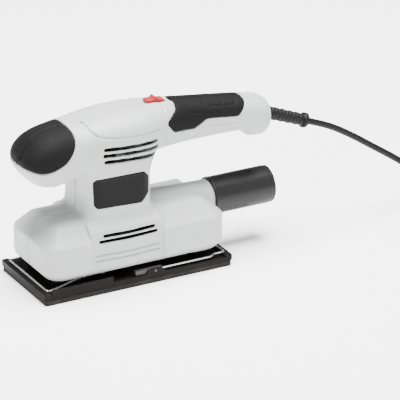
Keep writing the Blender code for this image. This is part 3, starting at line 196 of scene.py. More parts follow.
def along_stations(at, stations, column):
    """A smooth run through the stations' values: cubic pieces that never pass the values they join."""
    x = np.array([s[0] for s in stations], float)
    v = np.array([s[column] for s in stations], float)
    rise = np.diff(v) / np.diff(x)
    slope = np.zeros(len(v))
    inner = rise[:-1] * rise[1:] > 0
    gaps = np.diff(x)
    w1, w2 = 2 * gaps[1:] + gaps[:-1], gaps[1:] + 2 * gaps[:-1]
    with np.errstate(divide="ignore", invalid="ignore"):
        slope[1:-1] = np.where(inner, (w1 + w2) / (w1 / rise[:-1] + w2 / rise[1:]), 0)
    slope[0], slope[-1] = rise[0], rise[-1]
    at = np.clip(at, x[0], x[-1])
    i = np.clip(np.searchsorted(x, at) - 1, 0, len(x) - 2)
    h = gaps[i]
    t = (at - x[i]) / h
    a, b = 1 - 3 * t**2 + 2 * t**3, 3 * t**2 - 2 * t**3
    bend = slope[i] * (t - 2 * t**2 + t**3) + slope[i + 1] * (t**3 - t**2)
    return (v[i] * a + v[i + 1] * b + h * bend).astype(np.float32)


def line_distance(u, v, points):
    """How far (u, v) lies from a broken line."""
    best = np.float32(1e6)
    for (ax, ay), (bx, by) in zip(points, points[1:]):
        dx, dy = bx - ax, by - ay
        t = np.clip(((u - ax) * dx + (v - ay) * dy) / (dx * dx + dy * dy), 0, 1)
        best = np.minimum(best, np.hypot(u - ax - t * dx, v - ay - t * dy))
    return best


def outline_distance(u, v, points, round_by=0.0):
    """Signed distance to a closed outline, less than zero inside, its corners rounded by round_by."""
    points = [np.array(p, float) for p in points]
    inside = np.zeros(np.broadcast(u, v).shape, bool)
    for a, b in zip(points, points[1:] + points[:1]):
        crosses = (a[1] > v) != (b[1] > v)
        with np.errstate(divide="ignore", invalid="ignore"):
            at = (b[0] - a[0]) * (v - a[1]) / (b[1] - a[1]) + a[0]
        inside ^= crosses & (u < at)
    far = line_distance(u, v, [tuple(p) for p in points + points[:1]])
    return np.where(inside, -far, far) - round_by


def rounded_line(points, steps=6):
    """A closed smooth outline through points."""
    p = np.array(points, float)
    return [tuple(q) for q in cubic_spans(np.vstack([p[-1:], p, p[:2]]), steps)]


def surface_net(field, low, step):
    """The skin where a field passes zero: one point in each cell it crosses, at the mean of the edges' crossings."""
    inside = field < 0
    cells = tuple(n - 1 for n in field.shape)
    count = np.zeros(cells, np.uint8)
    place = np.zeros((3,) + cells, np.float32)
    quads = []
    spans = []
    for axis in range(3):
        a = [slice(None)] * 3
        b = [slice(None)] * 3
        a[axis], b[axis] = slice(0, -1), slice(1, None)
        fa, fb = field[tuple(a)], field[tuple(b)]
        crossed = inside[tuple(a)] != inside[tuple(b)]
        with np.errstate(divide="ignore", invalid="ignore"):
            t = np.where(crossed, fa / (fa - fb), 0)
        others = [k for k in range(3) if k != axis]
        for du in (0, 1):
            for dv in (0, 1):
                part = [slice(None)] * 3
                part[others[0]] = slice(du, cells[others[0]] + du)
                part[others[1]] = slice(dv, cells[others[1]] + dv)
                hit = crossed[tuple(part)]
                count += hit
                place[axis] += t[tuple(part)]
                place[others[0]] += hit * du
                place[others[1]] += hit * dv
        spans.append((axis, others, crossed, inside[tuple(a)]))
    used = count > 0
    number = np.full(cells, -1, np.int64)
    number[used] = np.arange(int(used.sum()))
    corner = np.argwhere(used)
    points = corner + (place[:, used] / count[used]).T
    points = points * step + np.array(low)
    for axis, others, crossed, starts_inside in spans:
        where = np.argwhere(crossed)
        u, v = others
        keep = (where[:, u] > 0) & (where[:, v] > 0) & (where[:, u] < cells[u]) & (where[:, v] < cells[v])
        where = where[keep]
        ring = []
        for du, dv in ((-1, -1), (0, -1), (0, 0), (-1, 0)):
            c = where.copy()
            c[:, u] += du
            c[:, v] += dv
            ring.append(number[c[:, 0], c[:, 1], c[:, 2]])
        ring = np.stack(ring, axis=1)
        outward = starts_inside[tuple(where.T)]
        if axis == 1:
            outward = ~outward
        ring[~outward] = ring[~outward][:, ::-1]
        quads.append(ring)
    return points, np.vstack(quads)


def eased(points, quads, rounds=2):
    """Points moved towards the mean of their neighbours and then back, which takes off the lattice's steps."""
    ends = np.vstack([quads[:, [0, 1]], quads[:, [1, 2]], quads[:, [2, 3]], quads[:, [3, 0]]])
    ends = np.vstack([ends, ends[:, ::-1]])
    weight = np.bincount(ends[:, 0], minlength=len(points))[:, None]
    for i in range(2 * rounds):
        total = np.stack([np.bincount(ends[:, 0], points[ends[:, 1], k], len(points)) for k in range(3)], axis=1)
        points = points + (0.5 if i % 2 == 0 else -0.52) * (total / np.maximum(weight, 1) - points)
    return points


def mesh_of(name, points, faces, material, body, replaces=()):
    """A piece from points in millimetres and faces with the same number of corners."""
    mesh = bpy.data.meshes.new(name)
    faces = np.asarray(faces)
    corners = faces.shape[1]
    mesh.vertices.add(len(points))
    mesh.vertices.foreach_set("co", (np.asarray(points) * MM).astype(np.float32).ravel())
    mesh.loops.add(faces.size)
    mesh.loops.foreach_set("vertex_index", faces.astype(np.int32).ravel())
    mesh.polygons.add(len(faces))
    mesh.polygons.foreach_set("loop_start", np.arange(0, faces.size, corners, dtype=np.int32))
    mesh.update(calc_edges=True)
    mesh.validate()
    mesh.shade_smooth()
    piece = bpy.data.objects.new(name, mesh)
    bpy.context.scene.collection.objects.link(piece)
    mesh.materials.append(material)
    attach(piece, body)
    if replaces:
        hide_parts(*replaces)
    return piece


# Housing

HEAD_STATIONS = [  # x, underside, top, half width
    (-98.7, 121.5, 124.0, 1.5),
    (-98.1, 117.6, 127.8, 9),
    (-96.3, 114.2, 131.5, 17.4),
    (-91, 106.8, 138.5, 24.8),
    (-82, 100.0, 145.0, 29.2),
    (-70, 97.4, 149.0, 31.2),
    (-57, 99.6, 151.2, 31.6),
    (-42, 105, 153.1, 32.2),
    (-25, 110, 155.4, 33.6),
    (-5, 111.5, 156.9, 34.0),
    (15, 112, 157.1, 32.5),
    (30, 112.2, 156.6, 28.5),
    (43, 112.4, 155.9, 24),
    (58, 112.7, 154.3, 20.8),
    (80, 112.9, 151.6, 19),
    (105, 113.1, 148.2, 18.5),
    (122, 112.6, 145.7, 18.5),
    (126.5, 108.6, 145, 18.9),
    (132, 105.4, 144, 19.4),
    (141, 104.9, 142.2, 19.6),
    (148, 108.2, 139.3, 17),
    (151.2, 114.6, 134.2, 12.5),
    (152, 122, 126.5, 2),
]
COLUMN_STATIONS = [  # z, half length, half width, corner radius
    (50, 40, 34, 15), (60, 37.5, 32.6, 14), (66, 34.6, 31.2, 13), (72, 32.6, 30.3, 12.5), (80, 32, 30, 12),
    (98, 32, 30, 12), (106, 33.2, 30.6, 12), (114, 36, 31.6, 13), (122, 38, 32, 13), (132, 38, 30, 13),
]
SKIRT_X = 1.5
SKIRT_HALF = (90.5, 43.0, 18.0)  # length, width and corner radius
BLOCK_SHOULDER, BLOCK_SLOPE = 48.5, 1.15  # where the end blocks turn inwards, and how much for each mm up
PANEL_SHOULDER, PANEL_SLOPE = 57.0, 1.3
TUCK = 23.5  # the height below which the walls lean in by as much as they go down
DIAGONAL = 1.41  # about the square root of 2
SKIRT_BOTTOM, SKIRT_TOP = 17.4, 64.8
PILLAR_LIP, LIP_PLACE, LIP_SPREAD = 1.3, 66.0, 9.0  # how far it dips, and where, from SKIRT_X
PANEL = (-45.0, 26.0)  # the side panel's start and end
PANEL_SIDE = 40.0
SLOT_ROWS = [  # slots as (height at each end, start, end), then half height, bow, and |y| of the floor
    ([(53.2, 53.2, -33.5, 18.5), (48.4, 48.4, -38.0, 21.0)], 1.6, 0.9, 30.0),
    ([(35.5, 35.5, -41.0, 22.5), (30.5, 30.5, -41.5, 23.0)], 0.9, 0.7, PANEL_SIDE - 1.0),
    ([(132.3, 130.1, -28.6, 27.0), (126.6, 124.0, -29.2, 28.0), (120.2, 117.6, -28.0, 26.5)], 1.75, 0.9, 22.0),
]
CAP_GROOVE = [
    (-43, 160), (-40.4, 153), (-37.6, 151.5), (-36.6, 147.8), (-33, 144.4), (-27, 142.4), (-18, 141), (0, 139.7),
    (29.5, 138.9),
]
NECK_LINE = [(42.5, 158), (41, 154), (37.6, 147), (36.4, 139), (37, 128), (39.5, 119.7)]
HANDLE_LINE = [(86, 129.4), (114, 126.4)]
DRAWN_LINES = [(CAP_GROOVE, 0.6, 1.3), (NECK_LINE, 0.55, 0.8), (HANDLE_LINE, 0.8, 0.7)]  # half width, depth
DUCT_Z = 51.4
COLLAR_END = 92.8
COLLAR_RADII = ([28, 40, 60, COLLAR_END], [19.0, 18.4, 17.2, 16.0])  # at these x
SPIGOT_END = 109.8
SPIGOT_RADIUS = 14.8
DUCT_OUTER, DUCT_BORE = 15.4, 12.8
WALL = 2.6
EXTRA_WALL = 1.8  # added to WALL in the knob and in the handle
RIM_Z = 16.3
BACKING = (37.0, 17.5, 50.0, 37.6, 42.0)  # behind the panel: half its length, z from and to, |y| from and to
SOCKET_X, SOCKET_Y = (-71.0, 69.0), 21.0  # one pillar's socket to each side at both
SOCKET_BOTTOM = 16.7
SOCKET_OUTER, SOCKET_BORE = 10.8, 8.6
SOCKET_TOP, SOCKET_CEILING = 41.0, 38.8
CORD_BORE = 6.55
SEAM = 0.06  # half the gap between the shells
RUBBER = 2.0
SHELL_KEEP = 0.72  # of the shells' triangles, so that each stays under 200,000
PAD_OUTLINE = [
    (-57, 172), (-53.4, 155), (-52.4, 150), (-52.3, 145), (-54, 139.5), (-57, 134), (-63, 126.9), (-70, 122.8),
    (-78, 119.8), (-87, 119), (-95, 121.2), (-104, 124.6), (-114, 140), (-112, 172),
]
GRIP_OUTLINE = [
    (54.5, 172), (53.8, 153.6), (52, 149.4), (40.6, 141.8), (40.2, 139.8), (46.6, 131.8), (48.6, 130.8),
    (69.6, 129.2), (81.5, 135.2), (84, 135.8), (113.5, 132.2), (116, 132.8), (121, 137.6), (125, 143), (128, 172),
]
LABEL_OUTLINE = [
    (-34, 103.3), (12, 102.6), (17.3, 96.8), (17.3, 82.5), (9.5, 74.5), (-33.5, 76.5), (-35.5, 79), (-36.2, 101),
]
SWITCH_X, SWITCH_Z, SWITCH_TILT = 38.0, 156.2, math.radians(3.6)
SWITCH_RECESS = (-15.0, 16.1, 5.35, 1.8)  # start and end along the slide, half width, depth
SWITCH_OPENING = (-5.5, 11.5, 2.8, 12.0)
SCREWS = [  # x, z, and y of the countersink's rim
    (-70, 108, 24.6), (36, 122, 21.5), (64, 121, 15.4), (112, 120, 14.1), (-76.5, 47, 39.3), (-85, 28, 33.2),
    (81.5, 28, 38.8),
]
SCREW_SINK, SCREW_WELL, SCREW_BOSS = 3.0, 3.5, 4.6  # depth, and two radii
PAD_CREASE = [  # x, and how far to the left
    (-98, 4), (-96.5, 7.6), (-94.3, 4.6), (-88.3, 2.2), (-78.4, 1.6), (-67.1, 1.2), (-50, 3.4),
]
PAD_CREASE_START = 126.5  # the height where it fades into the pad's lower rim
GRIP_ARC = 18.0
GRIP_LINES = [  # x, and the arc above the side on a radius of GRIP_ARC
    [(64.6, 28.5), (65.2, 17), (67.8, 10.2), (96, 7.4)],
    [(82.4, 28.5), (83.6, 16), (86.5, 14), (111.5, 12.8), (114.5, 15), (119.4, 28.5)],
    [(101.4, 28.5), (100.6, 14)],
]


HEAD_ROUNDNESS = 2.4  # 2 is an ellipse, and more is squarer


def head_field(x, y, z, step):
    """A superellipse whose middle, height and width run smoothly along X."""
    at = x.ravel()
    low, high, half = (along_stations(at, HEAD_STATIONS, k).reshape(x.shape) for k in (1, 2, 3))
    tall, middle = (high - low) / 2, (high + low) / 2
    over = np.maximum(np.maximum(x - HEAD_STATIONS[-1][0], HEAD_STATIONS[0][0] - x), 0)
    n = HEAD_ROUNDNESS
    round_part = ((np.abs(y) / half) ** n + (np.abs(z - middle) / tall) ** n) ** (1 / n)
    return evened((round_part - 1) * np.minimum(tall, half) + over, step)


def plan_distance(x, y, centre, half_x, half_y, radius):
    """Distance to a rounded rectangle in plan."""
    u, v = np.abs(x - centre) - half_x + radius, np.abs(y) - half_y + radius
    return np.minimum(np.maximum(u, v), 0) + np.hypot(np.maximum(u, 0), np.maximum(v, 0)) - radius


def column_field(x, y, z, step):
    """A rounded rectangle in plan whose size runs smoothly along Z."""
    at = z.ravel()
    half_x, half_y, radius = (along_stations(at, COLUMN_STATIONS, k).reshape(z.shape) for k in (1, 2, 3))
    plan = plan_distance(x, y, MOTOR_X, half_x, half_y, radius)
    return evened(np.maximum(plan, np.maximum(z - COLUMN_STATIONS[-1][0], COLUMN_STATIONS[0][0] - z)), step)


def sloped(wall, slope, above):
    """A wall's distance that leans inwards above a height, by slope for each millimetre."""
    return (wall + slope * above) / round(math.hypot(1, slope), 2)


def skirt_field(x, y, z):
    """Upright end blocks that turn into a slope at half height, and between them a taller recessed panel.

    Below, the walls tuck in, and dip a little round the four pillars."""
    side = np.abs(y)
    plan = plan_distance(x, y, SKIRT_X, *SKIRT_HALF)
    blocks = kept(plan, sloped(plan, BLOCK_SLOPE, z - BLOCK_SHOULDER), 1.6)
    across = np.abs(x - sum(PANEL) / 2) - (PANEL[1] - PANEL[0]) / 2
    blocks = less(blocks, np.maximum(across, PANEL_SIDE - side), 1.0)
    middle = side - PANEL_SIDE
    middle = kept(middle, sloped(middle, PANEL_SLOPE, z - PANEL_SHOULDER), 1.8)
    walls = joined(blocks, kept(middle, across - 1.0, 1.2), 1.0)
    lip = PILLAR_LIP * np.exp(-(((np.abs(x - SKIRT_X) - LIP_PLACE) / LIP_SPREAD) ** 2))
    below = np.maximum((plan + TUCK - z) / DIAGONAL, SKIRT_BOTTOM - lip - z)
    return kept(kept(walls, z - SKIRT_TOP, 4.0), below, 2.4)


def round_bar(across_1, across_2, radius):
    """Distance to a round bar's side from the two coordinates across its axis."""
    return np.hypot(across_1, across_2) - radius


def outer_field(x, y, z, step):
    """The whole outside: skirt, column, collar and head, with fillets between them."""
    skirt = skirt_field(x, y, z)
    column = column_field(x, y, z, step)
    radius = np.interp(x, *COLLAR_RADII).astype(np.float32)
    collar = np.maximum(round_bar(y, z - DUCT_Z, radius), np.maximum(x - COLLAR_END, 20 - x))
    skirt = joined(skirt, collar, 2.0)
    body = joined(skirt, column, 3.5)
    body = joined(body, head_field(x, y, z, step), 5.0)
    spigot = np.maximum(round_bar(y, z - DUCT_Z, SPIGOT_RADIUS), np.maximum(x - SPIGOT_END, 60 - x))
    return np.minimum(body, spigot)


def slot_field(x, z, slot, half, bow=0.0):
    """A long slot with round ends from one height to another, its middle bowed downwards by bow."""
    first, last, start, end = slot
    middle, reach = (start + end) / 2, (end - start) / 2
    t = (x - middle) / reach
    level = (first + last) / 2 + t * (last - first) / 2 - bow * (1 - t * t)
    return np.hypot(np.maximum(np.abs(x - middle) - reach + half, 0), z - level) - half


def switch_plane(x, z):
    """How far along the slide and out of the housing a point lies from the switch's middle."""
    dx, dz = x - SWITCH_X, z - SWITCH_Z
    c, s = math.cos(SWITCH_TILT), math.sin(SWITCH_TILT)
    return dx * c - dz * s, dx * s + dz * c


def switch_block(x, y, z, block):
    """A block given from start to end along the slide, by its half width and by its depth below the housing."""
    start, end, half, depth = block
    along, out = switch_plane(x, z)
    ends = np.abs(along - (start + end) / 2) - (end - start) / 2
    return np.maximum(np.maximum(ends, np.abs(y) - half), -depth - out), out


def housing_field(x, y, z, step):
    """The hollow shell: the outside, less its inside, its slots, pockets and bores."""
    outer = outer_field(x, y, z, step)
    side = np.abs(y)
    knob, handle = np.clip(1 - np.abs(x + 75) / 30, 0, 1), np.clip((x - 20) / 15, 0, 1)
    wall = WALL + EXTRA_WALL * knob * (z > 90) + EXTRA_WALL * handle * (z > 90)
    body = np.maximum(np.maximum(outer, -(outer + wall)), RIM_Z - z)
    half, bottom, top, inner, skin = BACKING
    across = np.abs(x - sum(PANEL) / 2) - half
    backing = np.maximum(across, np.maximum(z - top, np.maximum(inner - side, side - skin)))
    body = joined(body, np.maximum(np.maximum(backing, bottom - z), outer), 0.8)
    duct = np.maximum(round_bar(y, z - DUCT_Z, DUCT_OUTER), np.maximum(x - COLLAR_END + 2, 34 - x))
    body = np.maximum(np.minimum(body, duct), -np.maximum(round_bar(y, z - DUCT_Z, DUCT_BORE), 18 - x))
    for place in SOCKET_X:
        ring = np.hypot(x - place, side - SOCKET_Y)
        socket = np.maximum(ring - SOCKET_OUTER, np.maximum(SOCKET_BOTTOM - z, z - SOCKET_TOP))
        body = np.maximum(np.minimum(body, socket), -np.maximum(ring - SOCKET_BORE, z - SOCKET_CEILING))
    for slots, half, bow, floor in SLOT_ROWS:
        for slot in slots:
            body = less(body, np.maximum(slot_field(x, z, slot, half, bow), floor - side), 0.4)
    for line, half, depth in DRAWN_LINES:
        body = less(body, np.maximum(line_distance(x, z, line) - half, -(outer + depth)), 0.4)
    for outline in (rounded_line(PAD_OUTLINE), GRIP_OUTLINE):
        body = less(body, np.maximum(outline_distance(x, z, outline) - 0.25, -(outer + RUBBER + 0.3)), 0.4)
    pocket = np.maximum(outline_distance(x, z, LABEL_OUTLINE, 0.4), np.maximum(-(outer + 1.2), 20 - side))
    body = less(body, pocket, 0.3)
    body = less(body, switch_block(x, y, z, SWITCH_RECESS)[0], 0.6)
    opening, out = switch_block(x, y, z, SWITCH_OPENING)
    body = np.maximum(body, -np.maximum(opening, out - SWITCH_OPENING[3]))
    for px, pz, rim in SCREWS:
        off = np.hypot(x - px, z - pz)
        boss = np.maximum(off - SCREW_BOSS, np.maximum(side - rim, outer + 0.8))
        body = less(np.minimum(body, boss), np.maximum(off - SCREW_WELL, rim - SCREW_SINK - y), 0.4)
    across = (z - CORD_EXIT[2]) * math.cos(CORD_DROP) + (x - CORD_EXIT[0]) * math.sin(CORD_DROP)
    body = np.minimum(body, np.maximum(np.maximum(outer + 0.6, 140 - x), 90 - z))
    return np.maximum(body, -np.maximum(np.hypot(y, across) - CORD_BORE, 132 - x)), outer


def halves(field, y, gap):
    """A field cut along the middle plane into the near and the far half."""
    return np.maximum(field, y + gap), np.maximum(field, gap - y)


def stretch_of(field, low, step, first, last):
    """The lattice's cells from one x to another, and their lowest corner."""
    start, end = round((first - low[0]) / step), round((last - low[0]) / step)
    return field[start:end], (low[0] + start * step, low[1], low[2])


def moulded(name, field, low, step, material, node):
    """A piece of the housing from the skin of a field."""
    points, quads = surface_net(field, low, step)
    return mesh_of(name, eased(points, quads), quads, material, "housing", [node])


def add_housing(materials):
    """Both shells, the palm pad and the two grips, all cut from one pair of fields, and the side plates."""
    step = 1.0
    low, high = (-102.0, -46.0, 14.0), (156.0, 46.0, 167.0)
    x, y, z = lattice(low, high, step)
    body, outer = housing_field(x, y, z, step)
    for name, half in zip(("left", "right"), halves(body, y, SEAM)):
        shell = moulded(f"shell_{name}", half, low, step, materials["shell"], f"housing_{name}")
        lighter = shell.modifiers.new("fewer_flat_faces", "DECIMATE")
        lighter.ratio = SHELL_KEEP
    layer = np.maximum(outer, -(outer + RUBBER))
    pad = kept(layer, outline_distance(x, z, rounded_line(PAD_OUTLINE)) + 0.1, 0.9)
    crease = np.maximum(line_distance(x, y, [(px, -py) for px, py in PAD_CREASE]) - 0.75, PAD_CREASE_START - z)
    pad = less(pad, np.maximum(crease, -(outer + 1.1)), 0.4)
    pad, corner = stretch_of(pad, low, step, -102, -42)
    moulded("palm_cover", pad, corner, step, materials["soft_grip"], "palm_pad")
    grip = kept(layer, outline_distance(x, z, GRIP_OUTLINE) + 0.1, 0.9)
    low_edge, top_edge = (along_stations(x.ravel(), HEAD_STATIONS, k).reshape(x.shape) for k in (1, 2))
    arc = GRIP_ARC * np.arctan2(z - (low_edge + top_edge) / 2, np.abs(y))
    relief = np.minimum.reduce([line_distance(x, arc, line) for line in GRIP_LINES]) - 0.6
    grip = less(grip, np.maximum(relief, -(outer + 0.6)), 0.5)
    for name, half in zip(("left", "right"), halves(grip, y, 0.1)):
        half, corner = stretch_of(half, low, step, 33, 133)
        moulded(f"grip_{name}", half, corner, step, materials["soft_grip"], f"handle_grip_{name}")
    for name, side in (("left", -1), ("right", 1)):
        add_label(name, side, materials["label"])


def add_label(name, side, material):
    """A thin plate that fills its pocket in the column, worked out on a finer lattice of its own."""
    step = 0.4
    ys = sorted((side * 27.0, side * 34.0))
    low, high = (-38.0, ys[0], 72.0), (19.0, ys[1], 105.0)
    x, y, z = lattice(low, high, step)
    outer = outer_field(x, y, z, step)
    plate = np.maximum(outer - 0.05, -(outer + 1.0))
    plate = kept(plate, outline_distance(x, z, LABEL_OUTLINE, 1.2) + 0.25, 0.35)
    moulded(f"label_{name}", plate, low, step, material, f"label_plate_{name}")


# Materials


def shader_group(name, inputs, outputs):
    """An empty shared effect with its sockets, and its two end nodes."""
    group = bpy.data.node_groups.new(name, "ShaderNodeTree")
    for label, kind, value in inputs:
        made = group.interface.new_socket(label, in_out="INPUT", socket_type=f"NodeSocket{kind}")
        if value is not None:
            made.default_value = value
    for label, kind in outputs:
        group.interface.new_socket(label, in_out="OUTPUT", socket_type=f"NodeSocket{kind}")
    return group, group.nodes.new("NodeGroupInput"), group.nodes.new("NodeGroupOutput")


def add_node(tree, kind, values=None, links=None, **settings):
    """A node with its settings, its unlinked values by socket, and its links by socket."""
    made = tree.nodes.new(kind)
    for key, value in settings.items():
        setattr(made, key, value)
    for key, value in (values or {}).items():
        made.inputs[key].default_value = value
    for key, source in (links or {}).items():
        tree.links.new(source, made.inputs[key])
    return made


def math_node(tree, operation, a, b):
    """One arithmetic step whose two sides are sockets or numbers."""
    made = tree.nodes.new("ShaderNodeMath")
    made.operation = operation
    for socket, value in zip(made.inputs, (a, b)):
        if isinstance(value, (int, float)):
            socket.default_value = value
        else:
            tree.links.new(value, socket)
    return made.outputs[0]


def weighed(tree, a, share_a, b, share_b):
    """The sum of two sockets, each times its share."""
    return math_node(tree, "ADD", math_node(tree, "MULTIPLY", a, share_a), math_node(tree, "MULTIPLY", b, share_b))


def grain_group():
    """A moulded or cast skin: fine pits over a broad unevenness."""
    group, start, end = shader_group(
        "moulded_grain", [("Vector", "Vector", None), ("Scale", "Float", 1000.0)],
        [("Tone", "Float"), ("Height", "Float")],
    )
    vector, scale = start.outputs[:2]
    broad = math_node(group, "MULTIPLY", scale, 0.04)
    wide, close = {"Vector": vector, "Scale": broad}, {"Vector": vector, "Scale": scale}
    coarse = add_node(group, "ShaderNodeTexNoise", {"Detail": 5.0, "Roughness": 0.6}, wide)
    fine = add_node(group, "ShaderNodeTexNoise", {"Detail": 3.0, "Roughness": 0.7}, close)
    pits = add_node(group, "ShaderNodeTexVoronoi", {}, close, feature="SMOOTH_F1")
    height = weighed(group, fine.outputs[0], 0.6, pits.outputs[0], 0.5)
    tone = weighed(group, coarse.outputs[0], 0.7, fine.outputs[0], 0.3)
    group.links.new(tone, end.inputs[0])
    group.links.new(height, end.inputs[1])
    return group


def dust_group():
    """Fine sanding dust: patches that are thicker low down, near the sole, and thin out upwards."""
    group, start, end = shader_group(
        "settled_dust", [("Vector", "Vector", None), ("Amount", "Float", 0.3)], [("Dust", "Float")],
    )
    vector, amount = start.outputs[:2]
    cloud = add_node(
        group, "ShaderNodeTexNoise", {"Scale": 45.0, "Detail": 8.0, "Roughness": 0.65}, {"Vector": vector},
    )
    speck = add_node(group, "ShaderNodeTexNoise", {"Scale": 900.0, "Detail": 2.0}, {"Vector": vector})
    patch = add_node(group, "ShaderNodeMapRange", {"From Min": 0.48, "From Max": 0.72}, {"Value": cloud.outputs[0]})
    place = add_node(group, "ShaderNodeSeparateXYZ", {}, {0: vector})
    low = add_node(group, "ShaderNodeMapRange", {"From Min": 0.075, "From Max": 0.008}, {"Value": place.outputs["Z"]})
    grains = math_node(group, "MULTIPLY", patch.outputs[0], speck.outputs[0])
    mask = math_node(group, "MULTIPLY", grains, low.outputs[0])
    group.links.new(math_node(group, "MULTIPLY", mask, amount), end.inputs[0])
    return group


def bands_group():
    """Even bands along one direction, for wound wire, laminations and turned or drawn metal."""
    group, start, end = shader_group(
        "even_bands", [("Vector", "Vector", None), ("Scale", "Float", 300.0), ("Blur", "Float", 2.0)],
        [("Tone", "Float"), ("Height", "Float")],
    )
    vector, scale, blur = start.outputs[:3]
    wave = add_node(
        group, "ShaderNodeTexWave", {"Detail": 2.0, "Detail Scale": 2.0},
        {"Vector": vector, "Scale": scale, "Distortion": blur}, wave_type="BANDS", bands_direction="Z",
    )
    fine = add_node(group, "ShaderNodeTexNoise", {"Detail": 4.0}, {"Vector": vector, "Scale": scale})
    tone = weighed(group, wave.outputs["Fac"], 0.7, fine.outputs[0], 0.3)
    group.links.new(tone, end.inputs[0])
    group.links.new(wave.outputs["Fac"], end.inputs[1])
    return group


DUST_COLOUR = (0.55, 0.50, 0.43, 1)
RELIEF_DEPTH = 0.0003  # metres


def finish(
    groups, name, colour, other, roughness, spread, scale, bump,
    metallic=0.0, coat=0.0, bands=None, stretch=(1, 1, 1), dust=0.0, specular=0.5,
):
    """A Principled material whose tone, roughness and relief follow one of the shared effects.

    The tone mixes colour with other, and moves the roughness from roughness - spread to roughness + spread.
    scale is the pattern's, and bump is how strong its relief is. With bands, that much blurred, it is wound,
    layered or drawn metal; without, it is a moulded skin."""
    made = bpy.data.materials.new(name)
    made.use_nodes = True
    tree = made.node_tree
    shader = tree.nodes["Principled BSDF"]
    shader.inputs["Metallic"].default_value = metallic
    shader.inputs["Coat Weight"].default_value = coat
    shader.inputs["Coat Roughness"].default_value = 0.12
    shader.inputs["Specular IOR Level"].default_value = specular
    place = add_node(tree, "ShaderNodeTexCoord").outputs["Object"]
    vector = add_node(tree, "ShaderNodeMapping", {"Scale": stretch}, {"Vector": place}).outputs[0]
    effect = tree.nodes.new("ShaderNodeGroup")
    effect.node_tree = groups["bands" if bands is not None else "grain"]
    effect.inputs["Scale"].default_value = scale
    if bands is not None:
        effect.inputs["Blur"].default_value = bands
    tree.links.new(vector, effect.inputs["Vector"])
    tone, height = effect.outputs
    tint = add_node(tree, "ShaderNodeMix", {6: (*colour, 1), 7: (*other, 1)}, {0: tone}, data_type="RGBA")
    ends = {"From Min": 0.3, "From Max": 0.7, "To Min": roughness - spread, "To Max": roughness + spread}
    shine = add_node(tree, "ShaderNodeMapRange", ends, {"Value": tone})
    base, rough = tint.outputs[2], shine.outputs[0]
    if dust:
        settled = tree.nodes.new("ShaderNodeGroup")
        settled.node_tree = groups["dust"]
        settled.inputs["Amount"].default_value = dust
        tree.links.new(place, settled.inputs["Vector"])
        mix = {0: settled.outputs[0], 6: base}
        veil = add_node(tree, "ShaderNodeMix", {7: DUST_COLOUR}, mix, data_type="RGBA")
        base = veil.outputs[2]
        rough = math_node(tree, "ADD", rough, math_node(tree, "MULTIPLY", settled.outputs[0], 0.5))
    relief = add_node(tree, "ShaderNodeBump", {"Strength": bump, "Distance": RELIEF_DEPTH}, {"Height": height})
    tree.links.new(base, shader.inputs["Base Color"])
    tree.links.new(rough, shader.inputs["Roughness"])
    tree.links.new(relief.outputs[0], shader.inputs["Normal"])
    return made


